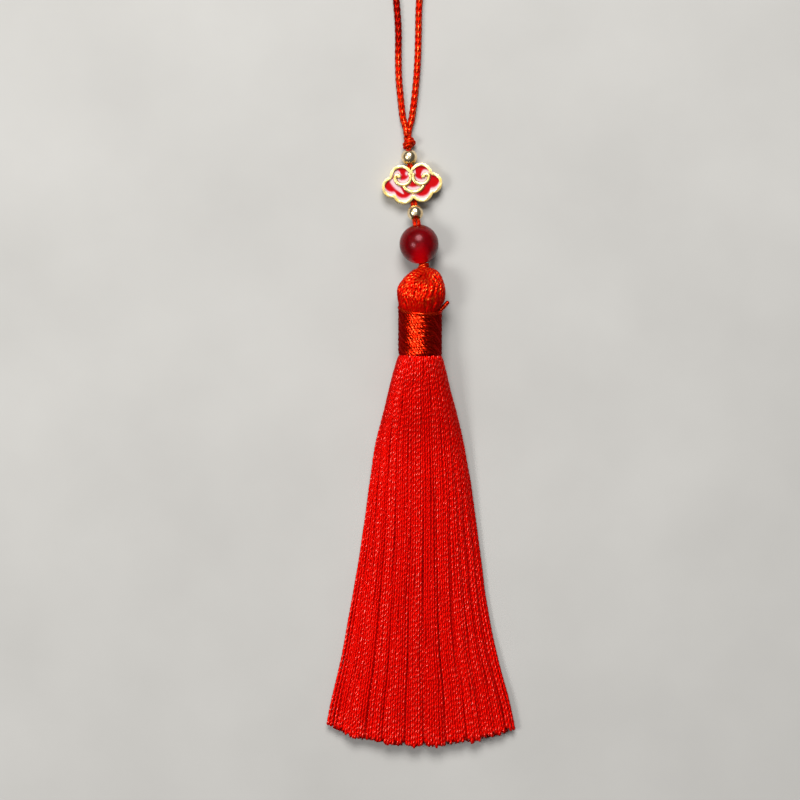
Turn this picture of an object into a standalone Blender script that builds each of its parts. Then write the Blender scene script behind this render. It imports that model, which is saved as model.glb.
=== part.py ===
"""A silk tassel on a beaded hanging cord, lying flat on a table.

A hank of silk yarn is folded over its hanging cord into a round head, bound below the head
and cut level at the hem. Above the head the doubled cord carries a frosted bead, two small
metal beads and an enamelled cloud, and ends in the knot that the hanging loop leaves.

+Y runs from the hem to the loop, +Z is up and the table is z = 0. The origin is on the table,
under the middle of the tassel and its strung cord. Sizes and tables are in millimetres, and
MM turns them into metres where a mesh is made.
"""
import math
from collections import namedtuple

import bmesh
import bpy
from mathutils import Vector

MM = 0.001

# ---- driving sizes
TASSEL_LENGTH = 152.0  # from the hem to the top of the upper knot
HEM_WIDTH = 46.8
HEM_RISE = 4.0  # the hem's corners lie this much higher than its middle
HEM_CURVE = 2.2  # power of the hem's arc, flat in its middle
HEM_UNEVEN = 0.7  # strands are cut up to this much short
HEM_Y = -TASSEL_LENGTH / 2
KNOT_TOP_Y = TASSEL_LENGTH / 2

BAND_BOTTOM_Y = 21.5
BAND_TOP_Y = 33.0
BAND_MIDDLE_Z = 5.8
BAND_DIAMETER = 10.7
BAND_TURNS = 17
CORE_RADIUS = 4.6  # the hank inside the binding
CLEARANCE = 0.3  # between pieces that touch on the real tassel

CHAIN_LEAN = math.radians(6.3)  # the string of beads leans left of the tassel's axis
RED_BEAD_DIAMETER = 9.8
BRASS_BEAD_DIAMETER = 4.0
BEAD_BORE_RADIUS = 0.95
CORD_DIAMETER = 1.7
THIN_CORD_RADIUS = 0.6  # where the cord is pulled through a bore

Point = namedtuple("Point", "x y z")
RED_BEAD_CENTRE = Point(-0.25, 49.15, 4.9)
LOWER_BRASS_CENTRE = Point(-1.2, 57.05, 3.7)
CLOUD_CENTRE = Point(-2.0, 64.4, 0.0)
UPPER_BRASS_CENTRE = Point(-2.7, 71.2, 2.0)
RED_BEAD_TILT = math.radians(12)  # the bores rise towards the loop by these angles
LOWER_BRASS_TILT = math.radians(-31)
UPPER_BRASS_TILT = math.radians(2)


# ---- helpers
def clear_scene():
    """Remove every object that the file opened with."""
    for existing in list(bpy.data.objects):
        bpy.data.objects.remove(existing, do_unlink=True)


def make_material(name, colour, roughness, metallic=0.0):
    """Return a Principled material with one colour."""
    material = bpy.data.materials.new(name)
    material.use_nodes = True
    shader = material.node_tree.nodes["Principled BSDF"]
    shader.inputs["Base Color"].default_value = (*colour, 1.0)
    shader.inputs["Roughness"].default_value = roughness
    shader.inputs["Metallic"].default_value = metallic
    return material


def add_object(name, data, material):
    """Link a mesh or curve to the scene as an object with one material."""
    piece = bpy.data.objects.new(name, data)
    piece.data.materials.append(material)
    bpy.context.scene.collection.objects.link(piece)
    return piece


def mesh_from(name, shape, smooth_angle=40):
    """Turn a bmesh in millimetres into a mesh in metres with outward faces."""
    bmesh.ops.scale(shape, vec=(MM, MM, MM), verts=shape.verts)
    bmesh.ops.recalc_face_normals(shape, faces=shape.faces)
    mesh = bpy.data.meshes.new(name)
    shape.to_mesh(mesh)
    shape.free()
    mesh.shade_smooth()
    mesh.set_sharp_from_angle(angle=math.radians(smooth_angle))
    return mesh


def bridge(shape, lower, upper):
    """Join two closed rings of as many vertices with quads."""
    count = len(lower)
    for index in range(count):
        following = (index + 1) % count
        shape.faces.new((lower[index], lower[following], upper[following], upper[index]))


def blend(first, second, share):
    """Return the value that lies share of the way from first to second."""
    return first + (second - first) * share


def cord_direction(tilt):
    """Return the unit vector along a bore that leans with the string of beads."""
    flat = math.cos(tilt)
    return Vector((-math.sin(CHAIN_LEAN) * flat, math.cos(CHAIN_LEAN) * flat, math.sin(tilt)))


def make_cutter(cutter):
    """Mark an object that only shapes another one."""
    cutter.hide_render = True
    cutter.display_type = "WIRE"
    return cutter


def add_boolean(piece, cutter, operation):
    """Cut or join a marked object with a Boolean modifier."""
    modifier = piece.modifiers.new(cutter.name, "BOOLEAN")
    modifier.operation = operation
    modifier.object = make_cutter(cutter)


def smooth_route(route, steps):
    """Return points on a smooth curve through the route's own points."""
    ends = [2 * route[0] - route[1]] + list(route) + [2 * route[-1] - route[-2]]
    points = []
    for before, start, end, after in zip(ends, ends[1:], ends[2:], ends[3:]):
        for step in range(steps):
            t = step / steps
            points.append(0.5 * (2 * start + (end - before) * t
                                 + (2 * before - 5 * start + 4 * end - after) * t ** 2
                                 + (3 * start - before - 3 * end + after) * t ** 3))
    return points + [route[-1]]


def swept_tube(shape, centres, radii, sides):
    """Add a closed round tube along centres, with its own radius at each of them."""
    rings = []
    for index, (centre, radius) in enumerate(zip(centres, radii)):
        ahead = centres[min(index + 1, len(centres) - 1)]
        behind = centres[max(index - 1, 0)]
        along = (ahead - behind).normalized()
        side = along.cross(Vector((0, 0, 1))).normalized()
        rise = side.cross(along)
        ring = []
        for step in range(sides):
            angle = math.tau * step / sides
            offset = side * math.cos(angle) + rise * math.sin(angle)
            ring.append(shape.verts.new(centre + offset * radius))
        rings.append(ring)
    for lower, upper in zip(rings, rings[1:]):
        bridge(shape, lower, upper)
    shape.faces.new(rings[0])
    shape.faces.new(rings[-1])


# ---- tassel: the head, and the skirt's strands that grow out of it
STRANDS_ACROSS = 14  # rows and columns of strands at the root
ROWS_PER_LAYER = 4  # rows at the root that lie side by side at the hem
SUB_COLUMN = (1, 3, 0, 2)  # place at the hem of each row of a layer
HEM_COLUMNS = STRANDS_ACROSS * ROWS_PER_LAYER
RING_POINTS = 4 * STRANDS_ACROSS
ROOT_SHARE = 0.78  # of its cell that a strand fills at the root
LOCK_GAP = 0.45  # between locks at the hem
GOLDEN = 0.618034  # spreads the uneven ends without repeating

# Cross-sections of the head from the roots up, round and a little leaning back
HeadRing = namedtuple("HeadRing", "y width middle_x middle_z lean rib")
HEAD = (
    HeadRing(20.90, 10.5, 0.00, BAND_MIDDLE_Z, 0.10, 0.00),
    HeadRing(21.25, 2 * CORE_RADIUS, 0.00, BAND_MIDDLE_Z, 0.10, 0.00),
    HeadRing(33.20, 2 * CORE_RADIUS, 0.00, BAND_MIDDLE_Z, 0.22, 0.00),
    HeadRing(33.55, 10.60, 0.05, 5.80, 0.22, 0.05),
    HeadRing(34.80, 11.55, 0.20, 5.85, 0.16, 0.10),
    HeadRing(36.60, 12.00, 0.30, 5.90, 0.08, 0.12),
    HeadRing(38.30, 11.80, 0.40, 5.80, 0.00, 0.14),
    HeadRing(40.00, 10.50, 0.60, 5.60, 0.00, 0.16),
    HeadRing(41.30, 8.60, 0.75, 5.40, 0.00, 0.16),
    HeadRing(42.30, 6.20, 0.85, 4.90, 0.00, 0.14),
    HeadRing(42.95, 4.00, 0.85, 4.40, 0.00, 0.08),
    HeadRing(43.20, 2.70, 0.80, 4.20, 0.00, 0.00),
    HeadRing(42.90, 2.05, 0.80, 4.25, 0.00, 0.00),
    HeadRing(41.50, 1.95, 0.85, 4.45, 0.00, 0.00),
)

# How the skirt fans out and sinks to the table, from the binding to the hem
Fan = namedtuple(
    "Fan", "y width height lift crown round_low round_high spread settle strand_width strand_height")
FAN = (
    Fan(7.75, 17.8, 8.8, 0.2, 0.12, 0.20, 0.20, 0.45, 0.00, 0.42, 0.38),
    Fan(-7.25, 24.5, 6.9, 0.0, 0.14, 0.06, 0.04, 0.90, 0.05, 0.42, 0.38),
    Fan(-42.25, 34.4, 5.3, 0.0, 0.20, 0.00, 0.03, 1.00, 0.40, 0.44, 0.42),
    Fan(HEM_Y, HEM_WIDTH, 4.3, 0.0, 0.35, 0.00, 0.10, 1.00, 1.00, 0.60, 0.60),
)

# The hem's locks from left to right
Lock = namedtuple("Lock", "strands shortfall")
LOCKS = (
    Lock(3, 0.3), Lock(9, 0.2), Lock(7, 0.5), Lock(11, 0.1),
    Lock(6, 0.0), Lock(6, 0.5), Lock(7, 0.2), Lock(7, 0.3),
)


def core_point(u, v):
    """Map a point of the square from -1 to 1 evenly to the unit disc."""
    if u == 0 and v == 0:
        return 0.0, 0.0
    if abs(u) >= abs(v):
        radius, angle = u, math.pi / 4 * v / u
    else:
        radius, angle = v, math.pi / 2 - math.pi / 4 * u / v
    return radius * math.cos(angle), radius * math.sin(angle)


def hem_places():
    """Return each hem column's place from -1 to 1, and the shortfall of its lock."""
    gaps = LOCK_GAP * (len(LOCKS) - 1)
    usable = HEM_WIDTH - FAN[-1].strand_width
    pitch = (usable - gaps) / (HEM_COLUMNS - 1)
    places, shortfalls, reached = [], [], 0.0
    for lock in LOCKS:
        for _ in range(lock.strands):
            places.append(2 * reached / usable - 1)
            shortfalls.append(lock.shortfall)
            reached += pitch
        reached += LOCK_GAP
    return places, shortfalls


def hem_column(row, column):
    """Return which place along the hem a strand reaches, the right half mirroring the left."""
    place = SUB_COLUMN[row % ROWS_PER_LAYER]
    if column >= STRANDS_ACROSS // 2:
        place = ROWS_PER_LAYER - 1 - place
    return ROWS_PER_LAYER * column + place


def strand_point(row, column, fan, hem_place):
    """Return where a strand's middle passes the given place of the fan."""
    root_place = 2 * column / (STRANDS_ACROSS - 1) - 1
    place = blend(root_place, hem_place, fan.spread)
    root_level = row / (STRANDS_ACROSS - 1)
    hem_level = (row // ROWS_PER_LAYER) / ((STRANDS_ACROSS - 1) // ROWS_PER_LAYER)
    level = blend(root_level, hem_level, fan.settle)
    narrowing = 1 - fan.round_low * (1 - level) ** 2 - fan.round_high * level ** 2
    x = place * narrowing * (fan.width - fan.strand_width) / 2
    height = fan.height * (1 - fan.crown * place ** 2) - fan.strand_height
    z = fan.lift + fan.strand_height / 2 + height * level
    return Vector((x, fan.y, z))


def strand_end(place, shortfall, number):
    """Return how far above the hem line a strand is cut."""
    return HEM_RISE * abs(place) ** HEM_CURVE + shortfall + HEM_UNEVEN * (number * GOLDEN % 1)


def square_section(shape, centre, width, height):
    """Add the four corners of a strand, in the order of a root cell's corners."""
    corners = ((-1, -1), (1, -1), (1, 1), (-1, 1))
    offsets = [Vector((across * width / 2, 0, up * height / 2)) for across, up in corners]
    return [shape.verts.new(centre + offset) for offset in offsets]


def add_strand(shape, cell, sections):
    """Grow one four-sided strand out of a cell of the head's lower face."""
    middle = sum((corner.co for corner in cell), Vector()) / len(cell)
    root = [shape.verts.new(middle.lerp(corner.co, ROOT_SHARE)) for corner in cell]
    rings = [list(cell), root] + sections
    for lower, upper in zip(rings, rings[1:]):
        bridge(shape, lower, upper)
    shape.faces.new(rings[-1])


def head_ring(shape, ring):
    """Add one ribbed ring of the head, flattened where it rests on the table."""
    vertices = []
    for index in range(RING_POINTS):
        angle = math.tau * index / RING_POINTS - math.pi / 4
        radius = ring.width / 2 + (ring.rib if index % 2 else -ring.rib)
        z = max(ring.middle_z + radius * math.sin(angle), 0.0)
        y = ring.y - ring.lean * (z - ring.middle_z)
        vertices.append(shape.verts.new((ring.middle_x + radius * math.cos(angle), y, z)))
    return vertices


def root_grid(shape):
    """Add the grid of vertices on the head's lower face that the strands grow from."""
    foot = HEAD[0]
    grid = {}
    for column in range(STRANDS_ACROSS + 1):
        for row in range(STRANDS_ACROSS + 1):
            x, rise = core_point(2 * column / STRANDS_ACROSS - 1, 2 * row / STRANDS_ACROSS - 1)
            rise *= foot.width / 2
            place = (foot.middle_x + x * foot.width / 2, foot.y - foot.lean * rise, foot.middle_z + rise)
            grid[column, row] = shape.verts.new(place)
    return grid


def grid_edge(grid):
    """Return the grid's outer vertices in the order of a head ring."""
    last = STRANDS_ACROSS
    edge = [grid[last, row] for row in range(last)]
    edge += [grid[column, last] for column in range(last, 0, -1)]
    edge += [grid[0, row] for row in range(last, 0, -1)]
    edge += [grid[column, 0] for column in range(last)]
    return edge


def build_tassel(material):
    """Build the head and all strands as one closed body."""
    shape = bmesh.new()
    grid = root_grid(shape)
    lower = grid_edge(grid)
    for ring in HEAD[1:]:
        upper = head_ring(shape, ring)
        bridge(shape, lower, upper)
        lower = upper
    shape.faces.new(lower)

    places, shortfalls = hem_places()
    strands = []
    for row in range(STRANDS_ACROSS):
        for column in range(STRANDS_ACROSS):
            number = hem_column(row, column)
            end = strand_end(places[number], shortfalls[number], len(strands))
            strands.append((row, column, places[number], end))
    shortest_end = min(end for *_, end in strands)
    for row, column, place, end in strands:
        cell = (grid[column, row], grid[column + 1, row], grid[column + 1, row + 1], grid[column, row + 1])
        sections = []
        for fan in FAN:
            centre = strand_point(row, column, fan, place)
            if fan is FAN[-1]:
                centre.y += end - shortest_end
            sections.append(square_section(shape, centre, fan.strand_width, fan.strand_height))
        add_strand(shape, cell, sections)
    return add_object("tassel", mesh_from("tassel", shape), material)


# ---- binding: yarn wound round the hank, its raised last turn and its loose end
BAND_SIDES = 24
BAND_LEAN_BOTTOM = 0.10  # how far its turns lean back, bottom and top
BAND_LEAN_TOP = 0.22
TURN_RIDGE = 0.14
LAST_TURN_RAISE = 0.28
LAST_TURN_Y = 32.35
LAST_TURN_HALF_WIDTH = 0.55
LOOSE_END_RADIUS = 0.42
LOOSE_END = (
    Vector((5.00, 32.20, 5.9)), Vector((5.95, 33.30, 6.1)),
    Vector((6.55, 34.20, 6.4)), Vector((7.00, 34.80, 6.6)),
)


def band_point(share, angle, radius):
    """Return a point of the binding at a share of its height."""
    z = BAND_MIDDLE_Z + radius * math.sin(angle)
    lean = blend(BAND_LEAN_BOTTOM, BAND_LEAN_TOP, share)
    y = blend(BAND_BOTTOM_Y, BAND_TOP_Y, share) - lean * (z - BAND_MIDDLE_Z)
    return radius * math.cos(angle), y, z


def band_radius(share, angle):
    """Return the radius of the wound surface, with its turns and its raised last turn."""
    turn = math.cos(math.tau * BAND_TURNS * share - angle)
    radius = BAND_DIAMETER / 2 - TURN_RIDGE / 2 + turn * TURN_RIDGE / 2
    distance = (blend(BAND_BOTTOM_Y, BAND_TOP_Y, share) - LAST_TURN_Y) / LAST_TURN_HALF_WIDTH
    return radius + LAST_TURN_RAISE * max(0.0, 1 - distance ** 2)


def build_binding(material):
    """Build the wound sleeve and join the loose end to it."""
    shape = bmesh.new()
    rows = 2 * BAND_TURNS
    shares = [row / rows for row in range(rows + 1)]
    angles = [math.tau * step / BAND_SIDES for step in range(BAND_SIDES)]
    rings = []
    for share in shares:
        rings.append([shape.verts.new(band_point(share, angle, band_radius(share, angle))) for angle in angles])
    bore = CORE_RADIUS + CLEARANCE
    for share in (1.0, 0.0):
        rings.append([shape.verts.new(band_point(share, angle, bore)) for angle in angles])
    for lower, upper in zip(rings, rings[1:] + rings[:1]):
        bridge(shape, lower, upper)
    binding = add_object("binding", mesh_from("binding", shape), material)

    end_shape = bmesh.new()
    swept_tube(end_shape, LOOSE_END, [LOOSE_END_RADIUS] * len(LOOSE_END), 8)
    loose_end = add_object("binding_loose_end", mesh_from("binding_loose_end", end_shape), material)
    add_boolean(binding, loose_end, "UNION")
    return binding


# ---- beads
RED_BEAD_END = 4.75  # half the length along the bore
BRASS_BEAD_END = 1.70
BORE_EDGE = 0.3  # the bore opens out over this depth


def bead_profile(radius, bore, end, arc_points):
    """Return half a round bead's section, as distance from the axis and place along it."""
    widest = math.acos(math.sqrt(radius ** 2 - end ** 2) / radius)
    arc = [widest * (2 * step / (arc_points - 1) - 1) for step in range(arc_points)]
    outside = [(radius * math.cos(angle), radius * math.sin(angle)) for angle in arc]
    return outside + [(bore, end - BORE_EDGE), (bore, BORE_EDGE - end)]


def build_bead(name, diameter, end, centre, tilt, arc_points, sides, material):
    """Spin a drilled round bead and place it on the string."""
    shape = bmesh.new()
    rings = []
    for distance, along in bead_profile(diameter / 2, BEAD_BORE_RADIUS, end, arc_points):
        ring = []
        for step in range(sides):
            angle = math.tau * step / sides
            ring.append(shape.verts.new((distance * math.cos(angle), distance * math.sin(angle), along)))
        rings.append(ring)
    for lower, upper in zip(rings, rings[1:] + rings[:1]):
        bridge(shape, lower, upper)
    bead = add_object(name, mesh_from(name, shape), material)
    bead.location = Vector(centre) * MM
    bead.rotation_euler = cord_direction(tilt).to_track_quat("Z", "Y").to_euler()
    return bead


# ---- cloud: a cast plate of seven lobes with a raised rim and scroll lines
Lobe = namedtuple("Lobe", "x y radius")
HALF_LOBES = (Lobe(2.5, 2.0, 2.85), Lobe(4.95, -0.35, 2.6), Lobe(2.3, -2.0, 2.8))
MIDDLE_LOBE = Lobe(0.0, -0.3, 3.3)
LOBES = HALF_LOBES + tuple(Lobe(-lobe.x, lobe.y, lobe.radius) for lobe in HALF_LOBES) + (MIDDLE_LOBE,)
CLOUD_POINTS = 72
CLOUD_HEIGHT = 3.4
RIM_WIDTH = 0.85
RIM_EDGE = 0.22  # rounding of the rim's outer edge
FIELD_HEIGHT = 2.9  # of the enamel fields inside the rim
FIELD_LEAST = 1.3  # the field's smallest radius, between the upper lobes
CLOUD_BORE_RADIUS = 0.9
CLOUD_BORE_Z = 1.6
LINE_RADIUS = 0.4
LINE_Z = 2.95

# Raised lines, each a chain of arcs from its first angle to its last, in degrees
Arc = namedtuple("Arc", "x y radius first last")
SCROLL = (Arc(2.4, 1.7, 2.05, 155, 345), Arc(3.55, 1.2, 0.83, 0, 190))
LOWER_CURVE = (Arc(0.0, 1.0, 3.1, 211, 329),)
ARC_STEP = 24


def cloud_reach(angle, shrink):
    """Return how far the lobes, made smaller by shrink, reach from the middle at an angle."""
    reach = FIELD_LEAST
    for lobe in LOBES:
        along = lobe.x * math.cos(angle) + lobe.y * math.sin(angle)
        inside = (lobe.radius - shrink) ** 2 - lobe.x ** 2 - lobe.y ** 2 + along ** 2
        if inside > 0:
            reach = max(reach, along + math.sqrt(inside))
    return reach


def cloud_ring(shape, shrink, z):
    """Add a ring of the cloud's outline at one height."""
    ring = []
    for step in range(CLOUD_POINTS):
        angle = math.tau * step / CLOUD_POINTS
        reach = cloud_reach(angle, shrink)
        ring.append(shape.verts.new((reach * math.cos(angle), reach * math.sin(angle), z)))
    return ring


def line_points(arcs, side):
    """Return the middle of a raised line, mirrored when side is -1."""
    points = []
    for arc in arcs:
        steps = max(2, round(abs(arc.last - arc.first) / ARC_STEP))
        for step in range(steps + 1):
            angle = math.radians(blend(arc.first, arc.last, step / steps))
            x = arc.x + arc.radius * math.cos(angle)
            points.append(Vector((side * x, arc.y + arc.radius * math.sin(angle), LINE_Z)))
    joined = [points[0]]
    for point in points[1:]:
        if (point - joined[-1]).length > LINE_RADIUS / 2:
            joined.append(point)
    return joined


def place_on_cloud(piece):
    """Turn and move a piece made in the cloud's own frame."""
    piece.location = Vector(CLOUD_CENTRE) * MM
    piece.rotation_euler = (0, 0, CHAIN_LEAN)
    return piece


def build_cloud(material):
    """Build the cast plate, join its scroll lines and drill it."""
    shape = bmesh.new()
    rings = [
        cloud_ring(shape, RIM_EDGE, 0.0),
        cloud_ring(shape, 0.0, RIM_EDGE),
        cloud_ring(shape, 0.0, CLOUD_HEIGHT - RIM_EDGE),
        cloud_ring(shape, RIM_EDGE, CLOUD_HEIGHT),
        cloud_ring(shape, RIM_WIDTH, CLOUD_HEIGHT - RIM_EDGE / 2),
        cloud_ring(shape, RIM_WIDTH, FIELD_HEIGHT),
    ]
    for lower, upper in zip(rings, rings[1:]):
        bridge(shape, lower, upper)
    shape.faces.new(rings[0])
    shape.faces.new(rings[-1])
    cloud = place_on_cloud(add_object("cloud_bead", mesh_from("cloud_bead", shape), material))

    lines = (("right_scroll", SCROLL, 1), ("left_scroll", SCROLL, -1), ("lower_curve", LOWER_CURVE, 1))
    for name, arcs, side in lines:
        line_shape = bmesh.new()
        points = line_points(arcs, side)
        swept_tube(line_shape, points, [LINE_RADIUS] * len(points), 6)
        line = place_on_cloud(add_object(name, mesh_from(name, line_shape), material))
        add_boolean(cloud, line, "UNION")

    drill_shape = bmesh.new()
    reach = RED_BEAD_DIAMETER
    swept_tube(drill_shape, [Vector((0, -reach, CLOUD_BORE_Z)), Vector((0, reach, CLOUD_BORE_Z))],
               [CLOUD_BORE_RADIUS] * 2, 12)
    drill = place_on_cloud(add_object("cloud_drill", mesh_from("cloud_drill", drill_shape), material))
    add_boolean(cloud, drill, "DIFFERENCE")
    return cloud


# ---- strung cord: from the socket in the head through the beads to the upper knot
Station = namedtuple("Station", "x y z radius")
STRUNG_CORD = (
    Station(0.84, 41.85, 4.40, THIN_CORD_RADIUS),  # in the head
    Station(0.78, 43.20, 4.18, 0.65),
    Station(0.72, 43.50, 4.10, 1.15),  # knot at the neck
    Station(0.60, 43.95, 4.05, 1.15),
    Station(0.42, 44.25, 3.98, 0.70),
    Station(0.25, 44.60, 3.93, THIN_CORD_RADIUS),  # red bead
    Station(-0.74, 53.65, 5.86, THIN_CORD_RADIUS),
    Station(-0.82, 54.25, 5.93, 0.80),  # doubled cord between the beads
    Station(-0.90, 54.75, 5.65, 0.90),
    Station(-0.97, 55.10, 5.15, 0.80),
    Station(-1.03, 55.50, 4.63, THIN_CORD_RADIUS),  # lower brass bead
    Station(-1.36, 58.50, 2.83, THIN_CORD_RADIUS),
    Station(-1.45, 59.20, 2.38, 0.80),
    Station(-1.53, 59.95, 1.95, 0.80),
    Station(-1.60, 60.80, CLOUD_BORE_Z, THIN_CORD_RADIUS),  # cloud
    Station(-2.36, 67.70, CLOUD_BORE_Z, THIN_CORD_RADIUS),
    Station(-2.43, 68.40, 1.75, 0.75),
    Station(-2.48, 69.00, 1.88, 0.70),
    Station(-2.52, 69.45, 1.94, THIN_CORD_RADIUS),  # upper brass bead
    Station(-2.88, 72.95, 2.05, THIN_CORD_RADIUS),
    Station(-2.91, 73.35, 1.95, 0.80),
    Station(-2.93, 73.60, 1.85, 1.30),  # upper knot, its wraps side by side
    Station(-2.96, 73.95, 1.75, 1.58),
    Station(-2.98, 74.30, 1.72, 1.38),
    Station(-3.00, 74.65, 1.70, 1.62),
    Station(-3.02, 75.00, 1.70, 1.40),
    Station(-3.04, 75.35, 1.70, 1.56),
    Station(-3.06, 75.75, 1.70, 1.15),
    Station(-3.07, KNOT_TOP_Y, 1.70, 0.60),
)
CORD_SIDES = 10


def build_strung_cord(material):
    """Build the held cord and its two knots as one tube of changing thickness."""
    shape = bmesh.new()
    centres = [Vector(station[:3]) for station in STRUNG_CORD]
    radii = [station.radius for station in STRUNG_CORD]
    swept_tube(shape, centres, radii, CORD_SIDES)
    return add_object("strung_cord", mesh_from("strung_cord", shape), material)


# ---- hanging loop: a free cord, out of the upper knot and back into it
LOOP_ROUTE = (
    Point(-3.70, 76.35, 1.55), Point(-3.95, 78.50, 1.20), Point(-4.28, 81.00, 0.92),
    Point(-4.80, 85.75, 0.86), Point(-5.30, 91.25, 0.86), Point(-5.42, 96.75, 0.86),
    Point(-5.40, 102.25, 0.86), Point(-5.90, 110.25, 0.86), Point(-6.85, 118.00, 0.86),
    Point(-7.75, 126.00, 0.86), Point(-7.95, 134.00, 0.86), Point(-7.00, 141.50, 0.86),
    Point(-4.80, 147.30, 0.86), Point(-1.80, 149.60, 0.86), Point(1.25, 148.40, 0.86),
    Point(3.25, 144.00, 0.86), Point(3.80, 137.50, 0.86), Point(3.05, 130.00, 0.86),
    Point(1.75, 123.00, 0.86), Point(0.60, 116.50, 0.86), Point(-0.15, 110.25, 0.86),
    Point(-0.38, 102.25, 0.86), Point(-0.52, 96.75, 0.86), Point(-0.85, 91.25, 0.86),
    Point(-1.40, 85.75, 0.86), Point(-2.02, 81.00, 0.92), Point(-2.30, 78.50, 1.20),
    Point(-2.42, 76.35, 1.55),
)
LOOP_STEPS = 2  # points of the tube for each point of the route
LOOP_END_SHARE = 0.6  # the cord is pulled thin at the knot
LOOP_TAPER = 9.0  # over this length above the knot


def build_loop(material):
    """Build the loop as a curve with a round bevel, thinner at both ends."""
    curve = bpy.data.curves.new("cord_loop", "CURVE")
    curve.dimensions = "3D"
    curve.bevel_depth = CORD_DIAMETER / 2 * MM
    curve.bevel_resolution = 2
    curve.use_fill_caps = True
    points = smooth_route([Vector(point) for point in LOOP_ROUTE], LOOP_STEPS)
    spline = curve.splines.new("POLY")
    spline.points.add(len(points) - 1)
    for target, point in zip(spline.points, points):
        target.co = (*(point * MM), 1.0)
        above = min(1.0, (point.y - KNOT_TOP_Y) / LOOP_TAPER)
        target.radius = blend(LOOP_END_SHARE, 1.0, above)
    return add_object("cord_loop", curve, material)


def main():
    """Build every piece of the tassel."""
    clear_scene()
    silk = make_material("silk", (0.62, 0.01, 0.008), 0.45)
    cord = make_material("cord", (0.58, 0.01, 0.008), 0.5)
    stone = make_material("frosted_stone", (0.30, 0.004, 0.01), 0.3)
    brass = make_material("brass", (0.66, 0.56, 0.30), 0.25, 1.0)
    enamel = make_material("gilt_enamel", (0.70, 0.20, 0.06), 0.2, 0.5)

    build_tassel(silk)
    build_binding(silk)
    build_strung_cord(cord)
    build_loop(cord)
    build_bead("red_bead", RED_BEAD_DIAMETER, RED_BEAD_END, RED_BEAD_CENTRE, RED_BEAD_TILT, 13, 24, stone)
    brass_beads = (
        ("brass_bead_lower", LOWER_BRASS_CENTRE, LOWER_BRASS_TILT),
        ("brass_bead_upper", UPPER_BRASS_CENTRE, UPPER_BRASS_TILT),
    )
    for name, centre, tilt in brass_beads:
        build_bead(name, BRASS_BEAD_DIAMETER, BRASS_BEAD_END, centre, tilt, 7, 16, brass)
    build_cloud(enamel)


main()
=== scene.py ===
"""Looks of a silk tassel on a beaded hanging cord, lying flat on a pale floor.

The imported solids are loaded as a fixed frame, and every piece here is dressed or remade in
the same place. +Y runs from the hem to the hanging loop, +Z is up and the floor is z = 0.
Sizes and tables are in millimetres, and MM turns them into metres where a mesh is made.
"""

import logging
import math
from collections.abc import Callable, Iterable
from dataclasses import dataclass
from enum import Enum
from typing import NamedTuple

import bmesh
import bpy
import numpy as np
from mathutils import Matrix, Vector

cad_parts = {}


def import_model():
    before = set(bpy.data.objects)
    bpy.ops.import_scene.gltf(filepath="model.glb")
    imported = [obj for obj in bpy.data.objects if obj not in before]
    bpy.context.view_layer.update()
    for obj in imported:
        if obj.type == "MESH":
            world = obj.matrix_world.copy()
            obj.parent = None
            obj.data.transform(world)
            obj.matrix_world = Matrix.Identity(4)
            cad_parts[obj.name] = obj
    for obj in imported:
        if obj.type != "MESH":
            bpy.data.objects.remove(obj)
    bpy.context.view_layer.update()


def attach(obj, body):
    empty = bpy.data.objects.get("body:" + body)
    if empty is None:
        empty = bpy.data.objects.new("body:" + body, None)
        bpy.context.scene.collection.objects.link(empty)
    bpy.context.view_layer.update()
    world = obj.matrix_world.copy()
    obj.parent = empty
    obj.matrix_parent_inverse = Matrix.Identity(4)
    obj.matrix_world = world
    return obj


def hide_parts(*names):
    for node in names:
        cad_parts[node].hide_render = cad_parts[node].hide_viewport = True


MM = 0.001
BODY = "root"
Point = tuple[float, float, float]
Wave = tuple[float, float, float]  # a sine wave's size, its radians for each unit of place, its start
GOLDEN = 0.618034  # spreads values evenly without repeating
CHAIN_LEAN = math.radians(6.3)  # the string of beads leans left of the tassel's axis
CUT_NEAR = 1e-7  # a point this near a cutting plane, in metres, counts as on it
BEAD_BORE = 0.95  # radius, in millimetres
EDGE_NEAR = 1e-6  # an edge this near a plane, in metres, counts as in it
LOG = logging.getLogger("tassel")


# ---- helpers
def linear(hex_colour: str) -> tuple[float, float, float, float]:
    """Turn an sRGB hex colour into linear light.

    Args:
        hex_colour: "#" and six hex digits.

    Returns:
        Red, green, blue and alpha from 0 to 1.
    """
    values = [int(hex_colour[at:at + 2], 16) / 255 for at in (1, 3, 5)]
    light = [v / 12.92 if v <= 0.04045 else ((v + 0.055) / 1.055) ** 2.4 for v in values]
    return (light[0], light[1], light[2], 1.0)


def add_node(
    tree: bpy.types.NodeTree, kind: str, inputs: dict | None = None,
    stops: Iterable[tuple[float, str]] = (), **settings: object,
) -> bpy.types.Node:
    """Add a shader node with its settings and links.

    Args:
        tree: The material's node tree.
        kind: The node's type, without "ShaderNode".
        inputs: Values for its sockets by name or index, or the sockets that feed them.
        stops: Places and hex colours of a colour ramp.
        settings: The node's own properties.

    Returns:
        The new node.
    """
    node = tree.nodes.new("ShaderNode" + kind)
    for name, value in settings.items():
        setattr(node, name, value)
    for name, value in (inputs or {}).items():
        if isinstance(value, bpy.types.NodeSocket):
            tree.links.new(value, node.inputs[name])
        else:
            node.inputs[name].default_value = value
    for index, (place, colour) in enumerate(stops):
        elements = node.color_ramp.elements
        element = elements[index] if index < 2 else elements.new(place)
        element.position = place
        element.color = linear(colour)
    return node


def new_material(name: str) -> tuple[bpy.types.Material, bpy.types.NodeTree]:
    """Make an empty node material.

    Args:
        name: What the material is.

    Returns:
        The material and its node tree.
    """
    material = bpy.data.materials.new(name)
    material.use_nodes = True
    material.node_tree.nodes.clear()
    return material, material.node_tree


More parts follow.
